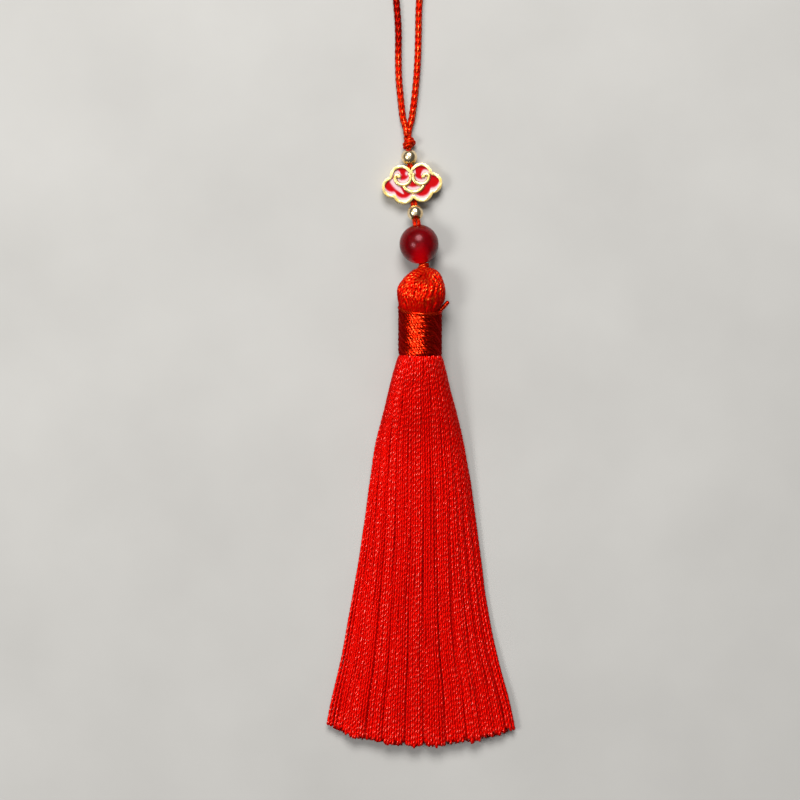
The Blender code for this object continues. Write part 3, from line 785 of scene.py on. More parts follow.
@dataclass
class Skirt:
    """The fan of yarns from the binding to the hem, in locks."""

    yarn: Yarn
    seed: int = 7
    root_y: float = 23.4

    # the hem: its corners lie higher, the right one a little less, and each cut is uneven
    hem_y: float = -76.6
    hem_rise: float = 4.2
    hem_curve: float = 2.2
    hem_lean: float = 0.11
    hem_uneven: float = 1.0
    hem_spread: float = 0.22
    lock_rounding: float = 1.1  # the outer yarns of a lock are this much shorter
    hidden_width: float = 0.925  # of the hem that the layers below the top one reach
    stagger: float = 0.4  # sideways shift of those layers, in yarns
    layer_shift: float = 0.37  # between the uneven ends of one layer and the next

    # the crown: how far its sides drop, as shares of its height
    crown: float = 0.28  # at the hem
    shoulder: float = 0.62  # and farther up
    shouldering: Ease = Ease(-72.0, -38.0)
    crown_curve: float = 2.4
    round_width: float = 1.14  # what the surface of a round skirt adds to its width, in half widths

    # where along Y the yarns part into locks, take their places at the hem and come loose
    locking: Ease = Ease(18.0, -24.0)
    spreading: Ease = Ease(16.0, -54.0)
    loosening: Ease = Ease(18.0, -12.0)

    # yarns that go under the others where the skirt is narrow
    going_under: float = 0.16  # width of the change, as a share of all yarns
    under_narrow: float = 0.9  # what they give up of their width
    under_depth: float = 0.62

    # the furrows between locks come and go along the skirt
    furrow_rate: float = 9.0  # millimetres for each radian
    furrow_shift: float = 2.4  # radians from one lock to the next
    furrow_least: float = 0.20
    furrow_most: float = 0.62

    # small waves: share of the sway and the length of one wave
    slow_waves: tuple[tuple[float, float], ...] = ((0.5, 47.0), (0.35, 23.0))
    quick_wave: float = 11.0
    sway_x: float = 0.08
    sway_z: float = 0.07
    tremble: float = 0.02

    # tones: each yarn's own, and more where the ends and the roots open up
    own_tone: float = 0.6
    opened_tone: float = 0.45
    opened_end: float = 7.0  # over this length
    root_share: float = 0.6
    root_opening: Ease = Ease(8.0, 20.0)
    locks: tuple[Lock, ...] = (
        Lock(3, 0.35, 0.3, -0.5, 1.45), Lock(3, 0.12, 0.4, -0.2), Lock(8, 0.55, 0.1, 0.1),
        Lock(2, 0.10, 0.6, -0.1), Lock(4, 0.18, 0.4, 0.1), Lock(9, 0.26, 0.2, 0.2),
        Lock(7, 0.62, 0.1, 0.2), Lock(8, 0.38, 0.0, 0.3), Lock(8, 0.40, 0.5, 0.1),
        Lock(6, 0.18, 0.2, 0.2), Lock(5, 0.14, 0.3, 0.0), Lock(4, 0.30, 0.2, -0.1),
        Lock(3, 0.00, 0.3, -0.4, 1.25),
    )
    pieces: tuple[int, ...] = (2, 1, 2, 1, 1, 1, 1, 2, 2)  # locks in each mesh, from the left
    fans: tuple[Fan, ...] = (
        Fan(-76.0, -24.4, 24.7, 4.3, 0.0, 0.0),
        Fan(-64.75, -22.3, 22.4, 4.5, 0.0, 0.0),
        Fan(-54.75, -19.9, 19.7, 4.8, 0.0, 0.0),
        Fan(-39.75, -17.2, 16.8, 5.4, 0.0, 0.05),
        Fan(-24.75, -14.7, 14.75, 6.0, 0.0, 0.15),
        Fan(-9.75, -12.6, 12.75, 6.8, 0.0, 0.35),
        Fan(0.25, -11.0, 11.0, 7.6, 0.0, 0.55),
        Fan(7.75, -9.1, 9.1, 8.8, 0.2, 0.78),
        Fan(12.75, -7.9, 7.7, 9.6, 0.3, 0.92),
        Fan(17.75, -6.6, 6.5, 10.6, 0.3, 1.0),
        Fan(20.80, -5.6, 5.6, 10.6, 0.5, 1.0),
        Fan(22.50, -4.7, 4.7, 9.4, 1.1, 1.0),
        Fan(23.40, -4.5, 4.5, 9.0, 1.3, 1.0),
    )
    layers: tuple[Layer, ...] = (
        Layer(-1, 1.00, 0.00, Section.TWO_PLY_COARSE, 0.85, 0.5),
        Layer(-1, 0.80, 0.30, Section.ROUND, 1.8, 1.6),
        Layer(1, 0.60, 0.58, Section.ROUND, 1.8, 1.6),
        Layer(1, 0.82, 0.86, Section.TWO_PLY_COARSE, 0.62, 1.6),
        Layer(1, 1.00, 1.00, Section.TWO_PLY, 0.33, 0.5),
    )

    def read(self, column: str, y: np.ndarray) -> np.ndarray:
        """Read one column of the table of cross-sections.

        Args:
            column: The column's name.
            y: Where to read.

        Returns:
            The values there.
        """
        return smooth_value([fan.y for fan in self.fans], [getattr(fan, column) for fan in self.fans], y)

    def hem_places(self) -> dict[str, np.ndarray]:
        """Lay the yarns of one layer along the hem.

        Returns:
            Each yarn's place from -1 to 1, its place within its lock, and its lock's values.
        """
        rows = [(index, step, lock) for index, lock in enumerate(self.locks) for step in range(lock.yarns)]
        total_gap = sum(lock.gap for lock in self.locks)
        usual = (self.fans[0].right - self.fans[0].left - self.yarn.pitch - total_gap) / sum(
            lock.yarns * lock.spread for lock in self.locks)
        reached, places = 0.0, []
        for index, step, lock in rows:
            reached += usual * lock.spread / 2
            places.append(reached)
            reached += usual * lock.spread / 2
            if step == lock.yarns - 1:
                reached += lock.gap
        places = 2 * (np.array(places) - places[0]) / (places[-1] - places[0]) - 1
        return {
            "hem": places,
            "lock": np.array([index for index, _, _ in rows]),
            "inner": np.array([2 * (step + 0.5) / lock.yarns - 1 for _, step, lock in rows]),
            "shortfall": np.array([lock.shortfall for _, _, lock in rows]),
            "lift": np.array([lock.lift for _, _, lock in rows]),
        }

    def centres(self, layer: Layer, number: int, chance: np.random.Generator) -> np.ndarray:
        """Work out the middle lines of one layer's yarns.

        Args:
            layer: The layer.
            number: Its number, from the lowest.
            chance: The seeded source of small unevenness.

        Returns:
            Points by yarn and ring.
        """
        laid = self.hem_places()
        hem, lock, inner, lift_up = (laid[name][:, None] for name in ("hem", "lock", "inner", "lift"))
        count = len(hem)
        on_top = number == len(self.layers) - 1
        column = np.arange(count)
        even = (2 * column / (count - 1) - 1)[:, None]
        if not on_top:
            hem = even * self.hidden_width + (self.stagger if number % 2 else -self.stagger) / count
        uneven = (column * GOLDEN + number * self.layer_shift) % 1
        end = (
            self.hem_y
            + self.hem_rise * np.abs(hem[:, 0]) ** self.hem_curve * (1 - self.hem_lean * hem[:, 0])
            + laid["shortfall"] + self.hem_uneven * uneven ** 2
            + chance.normal(0, self.hem_spread, count)
            + self.lock_rounding * np.abs(laid["inner"]) ** 8
        )
        rings = round((self.root_y - self.hem_y) / layer.spacing)
        y = self.root_y + (end[:, None] - self.root_y) * np.linspace(0, 1, rings)[None, :]

        left, right, height, lift, roundness = (
            self.read(name, y) for name in ("left", "right", "height", "lift", "roundness"))
        radius = self.yarn.radius
        half = (right - left) / 2 - radius
        middle = (right + left) / 2
        locked = self.locking.at(y)

        # fewer yarns show where the skirt is narrow: the others go under, and the rest close up
        showing = half * (2 + self.round_width * roundness) / (self.yarn.pitch * count)
        turn = ((column * GOLDEN) % 1)[:, None]
        under = smooth_step((turn - showing) / self.going_under) * on_top
        width = 1 - self.under_narrow * under
        reached = np.cumsum(width, axis=0) - width / 2
        beside = 2 * (reached - reached[:1]) / (reached[-1:] - reached[:1]) - 1
        place = beside + (hem - even) * self.spreading.at(y)
        sunk = under * self.under_depth
        starts = chance.uniform(0, math.tau, (3, count, 1))
        slow = sum(share * np.sin(math.tau * y / length + start)
                   for (share, length), start in zip(self.slow_waves, starts))
        quick = np.sin(math.tau * y / self.quick_wave + starts[2])
        free = self.loosening.at(y)

        # round below the binding, and flat with a low crown towards the hem
        bend = np.clip(place, -1, 1) * math.pi / 2
        reach = layer.reach * (1 - sunk / np.maximum(height / 2, 1))
        round_x = half * reach * np.sin(bend)
        round_z = height / 2 + layer.side * (height / 2 - radius) * reach * np.cos(bend)
        drop = self.crown + (self.shoulder - self.crown) * self.shouldering.at(y)
        crown = height * (1 - drop * np.abs(place) ** self.crown_curve) - radius
        furrow = 0.5 + 0.5 * np.sin(y / self.furrow_rate + self.furrow_shift * lock)
        lock_drop = (self.furrow_least + self.furrow_most * furrow) * np.abs(inner) ** 3 * locked
        top = crown - lock_drop + lift_up * locked - sunk
        flat_z = radius + (top - radius) * layer.level
        x = middle + round_x * roundness + half * place * (1 - roundness)
        z = lift + round_z * roundness + flat_z * (1 - roundness)
        x = x + (self.sway_x * slow + self.tremble * quick) * free
        z = z + (self.sway_z * slow + self.tremble * quick) * free * layer.play
        return np.stack([x, y, np.maximum(z, radius)], axis=-1)

    def build(self, material: bpy.types.Material) -> None:
        """Make the locks, each with all its layers.

        Args:
            material: The yarn's material.
        """
        chance = np.random.default_rng(self.seed)
        piece = np.repeat(np.arange(len(self.pieces)), self.pieces)[self.hem_places()["lock"]]
        meshes = [TubeMesh() for _ in self.pieces]
        for number, layer in enumerate(self.layers):
            centres = self.centres(layer, number, chance)
            phases = chance.uniform(0, math.tau, len(centres))
            y = centres[..., 1]
            # the cut ends open up and look lighter, and so do the places below the binding
            opened = smooth_step(1 - (y - y[:, -1:]) / self.opened_end)
            opened = opened + self.root_share * self.root_opening.at(y)
            tones = self.own_tone * chance.uniform(0, 1, (len(centres), 1)) + self.opened_tone * opened
            for index, mesh in enumerate(meshes):
                chosen = piece == index
                self.yarn.spin(mesh, centres[chosen], phases[chosen], tones[chosen], layer.section)
        for index, mesh in enumerate(meshes):
            dress(mesh.build(f"skirt_lock_{index + 1}"), material, "tassel")


# ---- head
@dataclass(frozen=True)
class HeadRing:
    """A cross-section of the head."""

    y: float
    width: float
    middle_x: float
    middle_z: float
    lean: float


@dataclass(frozen=True)
class Ridge:
    """A yarn pulled up beside the head's dent, from its first place to its last."""

    share: float  # along the profile, from the binding to the neck
    angle: float  # direction round the head, in degrees
    last_share: float
    last_angle: float
    height: float


@dataclass
class Head:
    """The folded end of the hank, round over the cord, with a dent below the neck."""

    yarn: Yarn
    seed: int = 11
    yarns: int = 66
    tiers: tuple[float, ...] = (1.0, 0.80, 0.70)  # share of the profile where each third goes in
    steps: int = 66  # rings of each yarn
    ridge_steps: int = 34
    jitter: float = 0.3  # of a yarn's place
    twist: float = 0.26  # radians round the head from the binding to the neck
    sway: tuple[tuple[float, int], ...] = ((0.13, 7), (0.07, 17))  # size and rate of the waves
    sunk: float = 0.14  # of the yarns' tops, on average
    rise: tuple[float, int] = (0.14, 5)  # waves in depth
    dive: float = 1.1  # how deep the shorter yarns go in
    diving: Ease = Ease(-0.22, -0.02)  # by the share of the profile past their last one
    tones: tuple[float, float] = (0.55, 0.95)
    thin: float = 0.35  # what the yarns lose of their radius at the neck
    thinning: Ease = Ease(0.72, 0.92)
    relief: tuple[float, float] = (0.3, 1.3)  # of the plies, where pressed smooth and where loose
    loosening: Ease = Ease(0.26, 0.41)
    dent_smooth: float = 0.7  # what the relief loses in the dent
    # painted light: the tone is painted lighter above a line that dips in the middle, where the yarns bulge
    # out towards the lights
    painted_lit: Ease = Ease(34.0, 35.7)
    painted_lit_dip: float = 0.095
    shade: float = 0.22  # painted shade: tone in the dark, against the painted lit part
    painted_dent_shade: tuple[float, float] = (0.9, 1.4)  # painted shade in the dent: what it takes away, and how fast
    hank: tuple[int, int] = (40, 48)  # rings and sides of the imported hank
    hank_inset: float = 1.5  # under the surface, in radii of the yarn
    hank_tone: float = 0.4
    rings: tuple[HeadRing, ...] = (
        HeadRing(31.60, 9.30, 0.00, 5.80, 0.22),
        HeadRing(33.00, 9.90, 0.00, 5.80, 0.22),
        HeadRing(33.70, 10.70, 0.00, 5.80, 0.20),
        HeadRing(34.90, 11.65, 0.25, 5.85, 0.14),
        HeadRing(36.60, 12.30, 0.28, 5.95, 0.08),
        HeadRing(38.30, 12.15, 0.35, 5.85, 0.00),
        HeadRing(40.00, 10.70, 0.60, 5.60, 0.00),
        HeadRing(41.30, 8.90, 0.85, 5.40, 0.00),
        HeadRing(42.25, 6.80, 1.15, 5.00, 0.00),
        HeadRing(42.85, 4.60, 1.20, 4.60, 0.00),
        HeadRing(43.10, 2.90, 0.95, 4.35, 0.00),
        HeadRing(42.80, 1.80, 0.85, 4.30, 0.00),
        HeadRing(41.60, 1.50, 0.85, 4.45, 0.00),
    )
    least_radius: float = 0.1
    dent: Oval = Oval(0.5, 41.0, 2.0, 1.4)
    dent_depth: float = 0.55
    dent_rise: Ease = Ease(0.0, 2.0)  # it is only on the side that shows
    ridge_sunk: float = 0.3
    ridge_tone: float = 0.9
    ridge_turn: float = 9.0  # start of its twist, in radians for each millimetre of its height
    ridges: tuple[Ridge, ...] = (
        Ridge(0.42, 138, 0.90, 96, 0.55), Ridge(0.38, 128, 0.88, 84, 0.75),
        Ridge(0.46, 150, 0.91, 112, 0.50), Ridge(0.44, 32, 0.90, 70, 0.55),
        Ridge(0.40, 44, 0.88, 78, 0.45),
    )

    def surface(self, share: np.ndarray, angle: np.ndarray, inset: np.ndarray | float) -> np.ndarray:
        """Find points on the head.

        Args:
            share: How far along the profile, from the binding to the neck.
            angle: Direction round the head, in radians.
            inset: How far under the surface.

        Returns:
            The points.
        """
        known = run_length(np.array([(ring.y, ring.width / 2) for ring in self.rings]))
        known = known / known[-1]
        read = {
            name: smooth_value(known, [getattr(ring, name) for ring in self.rings], share)
            for name in ("y", "width", "middle_x", "middle_z", "lean")
        }
        radius = np.maximum(read["width"] / 2 - inset, self.least_radius)
        x = read["middle_x"] + radius * np.cos(angle)
        rise = radius * np.sin(angle)
        z = read["middle_z"] + rise
        y = read["y"] - read["lean"] * rise
        z = z - self.dent_depth * self.dent.at(x, y) * self.dent_rise.at(rise)
        return np.stack([x, y, np.maximum(z, self.yarn.radius)], axis=-1)

    def build(self, material: bpy.types.Material) -> None:
        """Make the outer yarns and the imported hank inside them.

        Args:
            material: The yarn's material.
        """
        chance = np.random.default_rng(self.seed)
        mesh = TubeMesh()
        for tier, last in enumerate(self.tiers):
            column = np.arange(tier, self.yarns, len(self.tiers))
            count = len(column)
            start = math.tau * (column + chance.uniform(-self.jitter, self.jitter, count)) / self.yarns
            share = np.linspace(0, last, self.steps)[None, :] * np.ones((count, 1))
            starts = chance.uniform(0, math.tau, (2, count, 1))
            held = smooth_step(share * 3)  # the binding holds the yarns in place over the first third
            sway = ripple(share, [(*wave, begun) for wave, begun in zip(self.sway, starts)])
            angle = start[:, None] + (self.twist * share + sway) * held
            dive = self.diving.at(share - last) * (self.dive if tier else 0.0)
            lift = ripple(share, [(*self.rise, starts[1])]) * held
            centres = self.surface(share, angle, self.yarn.radius + self.sunk + dive + lift)
            x, y = centres[..., 0], centres[..., 1]
            # the winding presses the yarns smooth and dull just above it, and so does the cord
            pressed = self.dent.at(x, y)
            tight, loose = self.relief
            relief = tight + (loose - tight) * self.loosening.at(share)
            # painted light and shade: the tone is lighter above the line and darker below it and in the
            # dent
            painted_lit = self.painted_lit.at(y - self.painted_lit_dip * x ** 2)
            taken, rate = self.painted_dent_shade
            tones = chance.uniform(*self.tones, count)[:, None] * (
                self.shade + (1 - self.shade) * painted_lit * (1 - taken * np.minimum(1, rate * pressed)))
            self.yarn.spin(
                mesh, centres, chance.uniform(0, math.tau, count), tones,
                share=1 - self.thin * self.thinning.at(share),
                relief=relief * (1 - self.dent_smooth * pressed))
        for ridge in self.ridges:
            share = np.linspace(ridge.share, ridge.last_share, self.ridge_steps)[None, :]
            along = (share - ridge.share) / (ridge.last_share - ridge.share)
            angle = np.radians(ridge.angle + (ridge.last_angle - ridge.angle) * smooth_step(along))
            rise = ridge.height * np.sin(math.pi * along)
            centres = self.surface(share, angle, self.yarn.radius + self.ridge_sunk - rise)
            self.yarn.spin(
                mesh, centres, np.full(1, self.ridge_turn * ridge.height), np.full(1, self.ridge_tone))
        dress(mesh.build("head_yarns"), material, "tassel")
        dress(self.packed_hank(), material, "tassel")

    def packed_hank(self) -> bpy.types.Object:
        """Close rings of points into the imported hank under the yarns.

        Returns:
            The hank.
        """
        count, sides = self.hank
        share = np.linspace(0, 1, count)[:, None]
        around = math.tau * np.arange(sides)[None, :] / sides
        shell = self.surface(share, around, self.hank_inset * self.yarn.radius)
        shape = bmesh.new()
        rings = [[shape.verts.new(point * MM) for point in ring] for ring in shell]
        for lower, upper in zip(rings, rings[1:]):
            for index, vertex in enumerate(lower):
                after = (index + 1) % sides
                shape.faces.new((vertex, lower[after], upper[after], upper[index]))
        shape.faces.new(rings[0])
        shape.faces.new(rings[-1])
        bmesh.ops.recalc_face_normals(shape, faces=shape.faces)
        mesh = bpy.data.meshes.new("head_hank")
        shape.to_mesh(mesh)
        shape.free()
        mesh.uv_layers.new(name="thread")
        return link_piece(mesh, np.full(len(mesh.vertices), self.hank_tone))


# ---- binding
@dataclass
class Binding:
    """Yarn wound round the hank, its raised last turn and its loose end."""

    yarn: Yarn
    seed: int = 5
    bottom: float = 21.5
    top: float = 33.0
    turns: int = 17
    radius: float = 4.55  # of the yarn's middle line
    middle_z: float = 5.8
    lean_bottom: float = 0.10
    lean_top: float = 0.22
    last_turn_y: float = 32.9
    last_turn_slope: float = 0.42  # it lies lower on the right
    last_turn_dip: float = 0.35  # and sags over the front
    last_turn_radius: float = 5.08
    last_turn_tone: float = 0.58  # at least
    lap: float = 1.15  # length of the last turn, in turns
    lap_start: float = -1.9
    raised: float = 0.3  # of the last turn over its tucked ends
    thick: float = 1.15  # of the last turn and the loose end, against the yarn
    wound_share: float = 2.0  # radius of the wound yarn, against one silk yarn
    loose_tone: float = 0.7
    # small waves along the winding: of its height, its radius and its painted lit side
    wander: tuple[Wave, ...] = ((0.05, 0.37, 0), (0.04, 1.21, 1))
    bulge: tuple[Wave, ...] = ((0.05, 0.53, 2),)
    drift: tuple[Wave, ...] = ((0.06, 0.83, 0), (0.04, 0.29, 0))
    # painted light: the face towards the lights is painted lighter, most in a painted highlight streak, and
    # the sides get painted shade
    painted_light_side: float = 101.0  # direction in degrees from which it is lit
    painted_light_all: Ease = Ease(0.2, 1.0)  # by the cosine of the angle from there
    painted_highlight_streak: Ease = Ease(0.915, 0.995)
    painted_streak_share: float = 0.9  # of the painted light that is in the streak
    loose_end: tuple[Point, ...] = (
        (4.45, 31.95, 6.6), (4.95, 32.45, 6.2), (5.75, 33.35, 6.2), (6.45, 34.10, 6.4), (7.10, 34.80, 6.6))

    def turn_points(self, y: np.ndarray, angle: np.ndarray, radius: np.ndarray | float) -> np.ndarray:
        """Find points of the winding, whose turns lean back.

        Args:
            y: Height along the hank.
            angle: Direction round it, in radians.
            radius: Distance from its axis.

        Returns:
            The points.
        """
        share = (y - self.bottom) / (self.top - self.bottom)
        lean = self.lean_bottom + (self.lean_top - self.lean_bottom) * share
        rise = radius * np.sin(angle)
        return np.stack([radius * np.cos(angle), y - lean * rise, self.middle_z + rise], axis=-1)

    def painted_light(self, angle: np.ndarray) -> np.ndarray:
        """Find the painted light: lighter towards the lights, with a painted highlight streak, and painted
        shade on the sides.

        Args:
            angle: Direction round the hank, in radians.

        Returns:
            The painted light, from 0 to 1.
        """
        facing = np.cos(angle - math.radians(self.painted_light_side) - ripple(angle, self.drift))
        streak = self.painted_highlight_streak.at(facing)
        return (1 - self.painted_streak_share) * self.painted_light_all.at(facing) + self.painted_streak_share * streak

    def build(self, material: bpy.types.Material) -> None:
        """Wind the yarn.

        Args:
            material: The yarn's material.
        """
        chance = np.random.default_rng(self.seed)
        mesh = TubeMesh()
        radius, spacing = self.yarn.radius, self.yarn.spacing
        rings = round(self.turns * math.tau * self.radius / spacing)
        angle = np.linspace(0, math.tau * self.turns, rings)
        y = np.linspace(self.bottom + radius, self.top - radius, rings) + ripple(angle, self.wander)
        wound = self.turn_points(y, angle, self.radius + ripple(angle, self.bulge))
        painted_lit_tone = self.painted_light(angle)[None]
        self.yarn.spin(mesh, wound[None], np.zeros(1), painted_lit_tone, Section.FIVE_PLY, self.wound_share)

        rings = round(math.tau * self.radius * self.lap / spacing)
        angle = np.linspace(self.lap_start, math.tau * self.lap + self.lap_start, rings)
        y = (self.last_turn_y - self.last_turn_slope * np.cos(angle)
             - self.last_turn_dip * np.maximum(np.sin(angle), 0))
        share = np.linspace(0, 1, rings)
        ends = smooth_step(share * 8) * smooth_step(share[::-1] * 8)
        lap = self.turn_points(y, angle, self.last_turn_radius - self.raised * (1 - ends))
        painted_lit_tone = self.last_turn_tone + (1 - self.last_turn_tone) * self.painted_light(angle)[None]
        self.yarn.spin(mesh, lap[None], np.zeros(1), painted_lit_tone, Section.ROUND, self.thick)

        loose = along_route(np.array(self.loose_end), spacing)
        self.yarn.spin(
            mesh, loose[None], chance.uniform(0, 1, 1), np.full(1, self.loose_tone), Section.ROUND,
            self.thick)
        dress(mesh.build("binding_yarn"), material, "binding")


# ---- strung cord and its knots
class Station(NamedTuple):
    """A place on the route of the pair of cords."""

    x: float
    y: float
    z: float
    half: float  # half the distance between the two cords
    radius: float


@dataclass(frozen=True)
class Knot:
    """Cord wrapped round the pair into a small round knot."""

    name: str
    start: Point  # middle of its first wrap
    end: Point  # and of its last
    reach: tuple[float, ...]  # radius of the wraps' middle line, from the first to the last
    thickness: float  # radius of the cord
    turns: float


@dataclass
class StrungCord:
    """The doubled cord through the beads, with the knot at the neck and the upper knot."""

    tones: tuple[float, float] = (0.85, 1.0)
    stations: tuple[Station, ...] = (
        Station(0.84, 41.60, 4.40, 0.34, 0.42), Station(0.78, 43.00, 4.25, 0.50, 0.50),
        Station(0.60, 43.95, 4.15, 0.48, 0.50), Station(0.25, 44.60, 3.93, 0.30, 0.31),
        Station(-0.72, 53.30, 5.80, 0.30, 0.31), Station(-0.78, 53.80, 6.60, 0.46, 0.50),
        Station(-0.87, 54.45, 6.45, 0.52, 0.52), Station(-0.97, 55.10, 5.30, 0.46, 0.48),
        Station(-1.03, 55.50, 4.63, 0.30, 0.31), Station(-1.36, 58.50, 2.83, 0.30, 0.31),
        Station(-1.45, 59.20, 2.38, 0.44, 0.46), Station(-1.53, 59.95, 1.95, 0.44, 0.46),
        Station(-1.60, 60.80, 1.60, 0.30, 0.31), Station(-2.36, 67.70, 1.60, 0.30, 0.31),
        Station(-2.43, 68.40, 1.75, 0.42, 0.42), Station(-2.48, 69.00, 1.88, 0.38, 0.40),
        Station(-2.52, 69.45, 1.94, 0.30, 0.31), Station(-2.88, 72.95, 2.05, 0.30, 0.31),
        Station(-2.93, 73.80, 1.80, 0.44, 0.44), Station(-3.00, 75.00, 1.70, 0.46, 0.46),
        Station(-3.06, 76.40, 1.60, 0.60, 0.50),
    )
    knots: tuple[Knot, ...] = (
        Knot("upper_knot", (-2.64, 73.70, 1.90), (-2.90, 75.95, 1.78),
             (0.80, 1.18, 1.24, 0.98, 0.66, 0.45), 0.52, 3.4),
        Knot("neck_knot", (0.95, 42.95, 4.30), (0.80, 44.05, 4.20), (0.75, 1.02, 1.02, 0.75), 0.48, 2.2),
    )
    wrap_start: float = -0.6  # direction of a knot's first wrap, in radians
    wrap_slant: float = 0.38  # how far the wraps swing along the knot
    slant_start: float = 0.9
    tucked: float = 0.35  # reach of its ends, against the rest
    tuck_rate: float = 5.0
    braid: Braid = Braid(pitch=1.5, sides=20, spacing=0.16)

    def build(self, material: bpy.types.Material) -> None:
        """Make the pair of cords and the two knots.

        Args:
            material: The cord's material.
        """
        rows = along_route(np.array(self.stations), self.braid.spacing)
        centres, halves, radii = rows[:, :3], rows[:, 3:4], rows[:, 4]
        across = np.array([math.cos(CHAIN_LEAN), math.sin(CHAIN_LEAN), 0.0])
        pair = TubeMesh()
        for side, tone in zip((-1, 1), self.tones):
            self.braid.lay(pair, centres + side * halves * across, radii, np.full(len(rows), tone))
        dress(pair.build("strung_pair"), material, "strung_cord")
        for knot in self.knots:
            dress(self.wrap(knot), material, "strung_cord")

    def wrap(self, knot: Knot) -> bpy.types.Object:
        """Wrap cord round the pair.

        Args:
            knot: The knot's sizes.

        Returns:
            The knot's mesh as an object.
        """
        start, end = np.array(knot.start), np.array(knot.end)
        rings = round(knot.turns * math.tau * max(knot.reach) / self.braid.spacing)
        share = np.linspace(0, 1, rings)[:, None]
        along = unit(end - start)
        side = unit(np.cross(along, (0, 0, 1)))
        rise = np.cross(side, along)
        angle = math.tau * knot.turns * share + self.wrap_start
        swell = smooth_value(np.linspace(0, 1, len(knot.reach)), knot.reach, share)
        tucked = np.minimum(1, self.tuck_rate * np.minimum(share, 1 - share) + self.tucked)
        wraps = (
            start + (end - start) * share
            + swell * tucked * (side * np.cos(angle) + rise * np.sin(angle))
            + self.wrap_slant * along * np.sin(angle + self.slant_start) * tucked
        )
        mesh = TubeMesh()
        self.braid.lay(mesh, wraps, np.full(rings, knot.thickness), np.ones(rings))
        return mesh.build(knot.name)


# ---- hard pieces, modelled with operators
def start_piece(name: str) -> bpy.types.Object:
    """Name the primitive that was just added and enter edit mode with nothing selected.

    Args:
        name: The piece's name.

    Returns:
        The piece.
    """
    piece = bpy.context.active_object
    piece.name = piece.data.name = name
    bpy.ops.object.mode_set(mode="EDIT")
    bpy.ops.mesh.select_all(action="DESELECT")
    return piece


def select_edges(piece: bpy.types.Object, wanted: Callable[[Vector], bool]) -> None:
    """Select the edges of a piece in edit mode whose middles meet a condition.

    Args:
        piece: The piece.
        wanted: A function of an edge's middle point.
    """
    bpy.ops.mesh.select_mode(type="EDGE")
    bpy.ops.mesh.select_all(action="DESELECT")
    shape = bmesh.from_edit_mesh(piece.data)
    for edge in shape.edges:
        edge.select_set(bool(wanted((edge.verts[0].co + edge.verts[1].co) / 2)))
    shape.select_flush_mode()
    bmesh.update_edit_mesh(piece.data)


def select_only(piece: bpy.types.Object) -> None:
    """Select one object and nothing else, and make it the active one."""
    bpy.ops.object.select_all(action="DESELECT")
    piece.select_set(True)
    bpy.context.view_layer.objects.active = piece


def settle(piece: bpy.types.Object, place: Vector, turn: Iterable[float]) -> None:
    """Turn and move a finished piece, and put its place into its mesh.

    Args:
        piece: The piece, made round the origin.
        place: Where its middle goes, in metres.
        turn: Its Euler angles.
    """
    select_only(piece)
    piece.location = place
    piece.rotation_euler = turn
    bpy.ops.object.transform_apply(location=True, rotation=True, scale=True)


def add_cylinder(radius: float, depth: float, place: Point, sides: int, turn: Point) -> bpy.types.Object:
    """Add a cylinder with its place in its mesh.

    Args:
        radius: Its radius, in millimetres as all its sizes.
        depth: Its length.
        place: Its middle.
        sides: How many sides it has.
        turn: Its Euler angles.

    Returns:
        The cylinder.
    """
    bpy.ops.object.select_all(action="DESELECT")
    bpy.ops.mesh.primitive_cylinder_add(
        vertices=sides, radius=radius * MM, depth=depth * MM,
        location=[value * MM for value in place], rotation=turn)
    bpy.ops.object.transform_apply(location=True, rotation=True, scale=True)
    return bpy.context.active_object


def apply_modifier(piece: bpy.types.Object, kind: str, **settings: object) -> None:
    """Add a modifier with its settings and apply it.

    Args:
        piece: The piece.
        kind: The modifier's type.
        settings: Its properties.
    """
    select_only(piece)
    modifier = piece.modifiers.new(kind.lower(), kind)
    for name, value in settings.items():
        setattr(modifier, name, value)
    bpy.ops.object.modifier_apply(modifier=modifier.name)


def round_edges(piece: bpy.types.Object, width: float, steps: int, sharper: float) -> None:
    """Round the sharp edges of a piece.

    Args:
        piece: The piece.
        width: How far the rounding reaches, in millimetres.
        steps: Its segments.
        sharper: The smallest angle that counts as sharp, in degrees.
    """
    apply_modifier(
        piece, "BEVEL", width=width * MM, segments=steps, limit_method="ANGLE",
        angle_limit=math.radians(sharper), use_clamp_overlap=True)


def combine(piece: bpy.types.Object, other: bpy.types.Object, operation: str) -> None:
    """Join another object to a piece or cut it out of the piece, and delete the other one.

    Args:
        piece: The piece.
        other: The other object.
        operation: "UNION" or "DIFFERENCE".
    """
    apply_modifier(piece, "BOOLEAN", operation=operation, solver="EXACT", object=other)
    bpy.data.objects.remove(other, do_unlink=True)


def face_outwards(piece: bpy.types.Object) -> None:
    """Turn the faces of a closed piece outwards, in edit mode, by the sign of its volume.

    Args:
        piece: The piece.
    """
    bpy.ops.mesh.select_all(action="SELECT")
    bpy.ops.mesh.normals_make_consistent(inside=False)
    if bmesh.from_edit_mesh(piece.data).calc_volume(signed=True) < 0:
        bpy.ops.mesh.flip_normals()


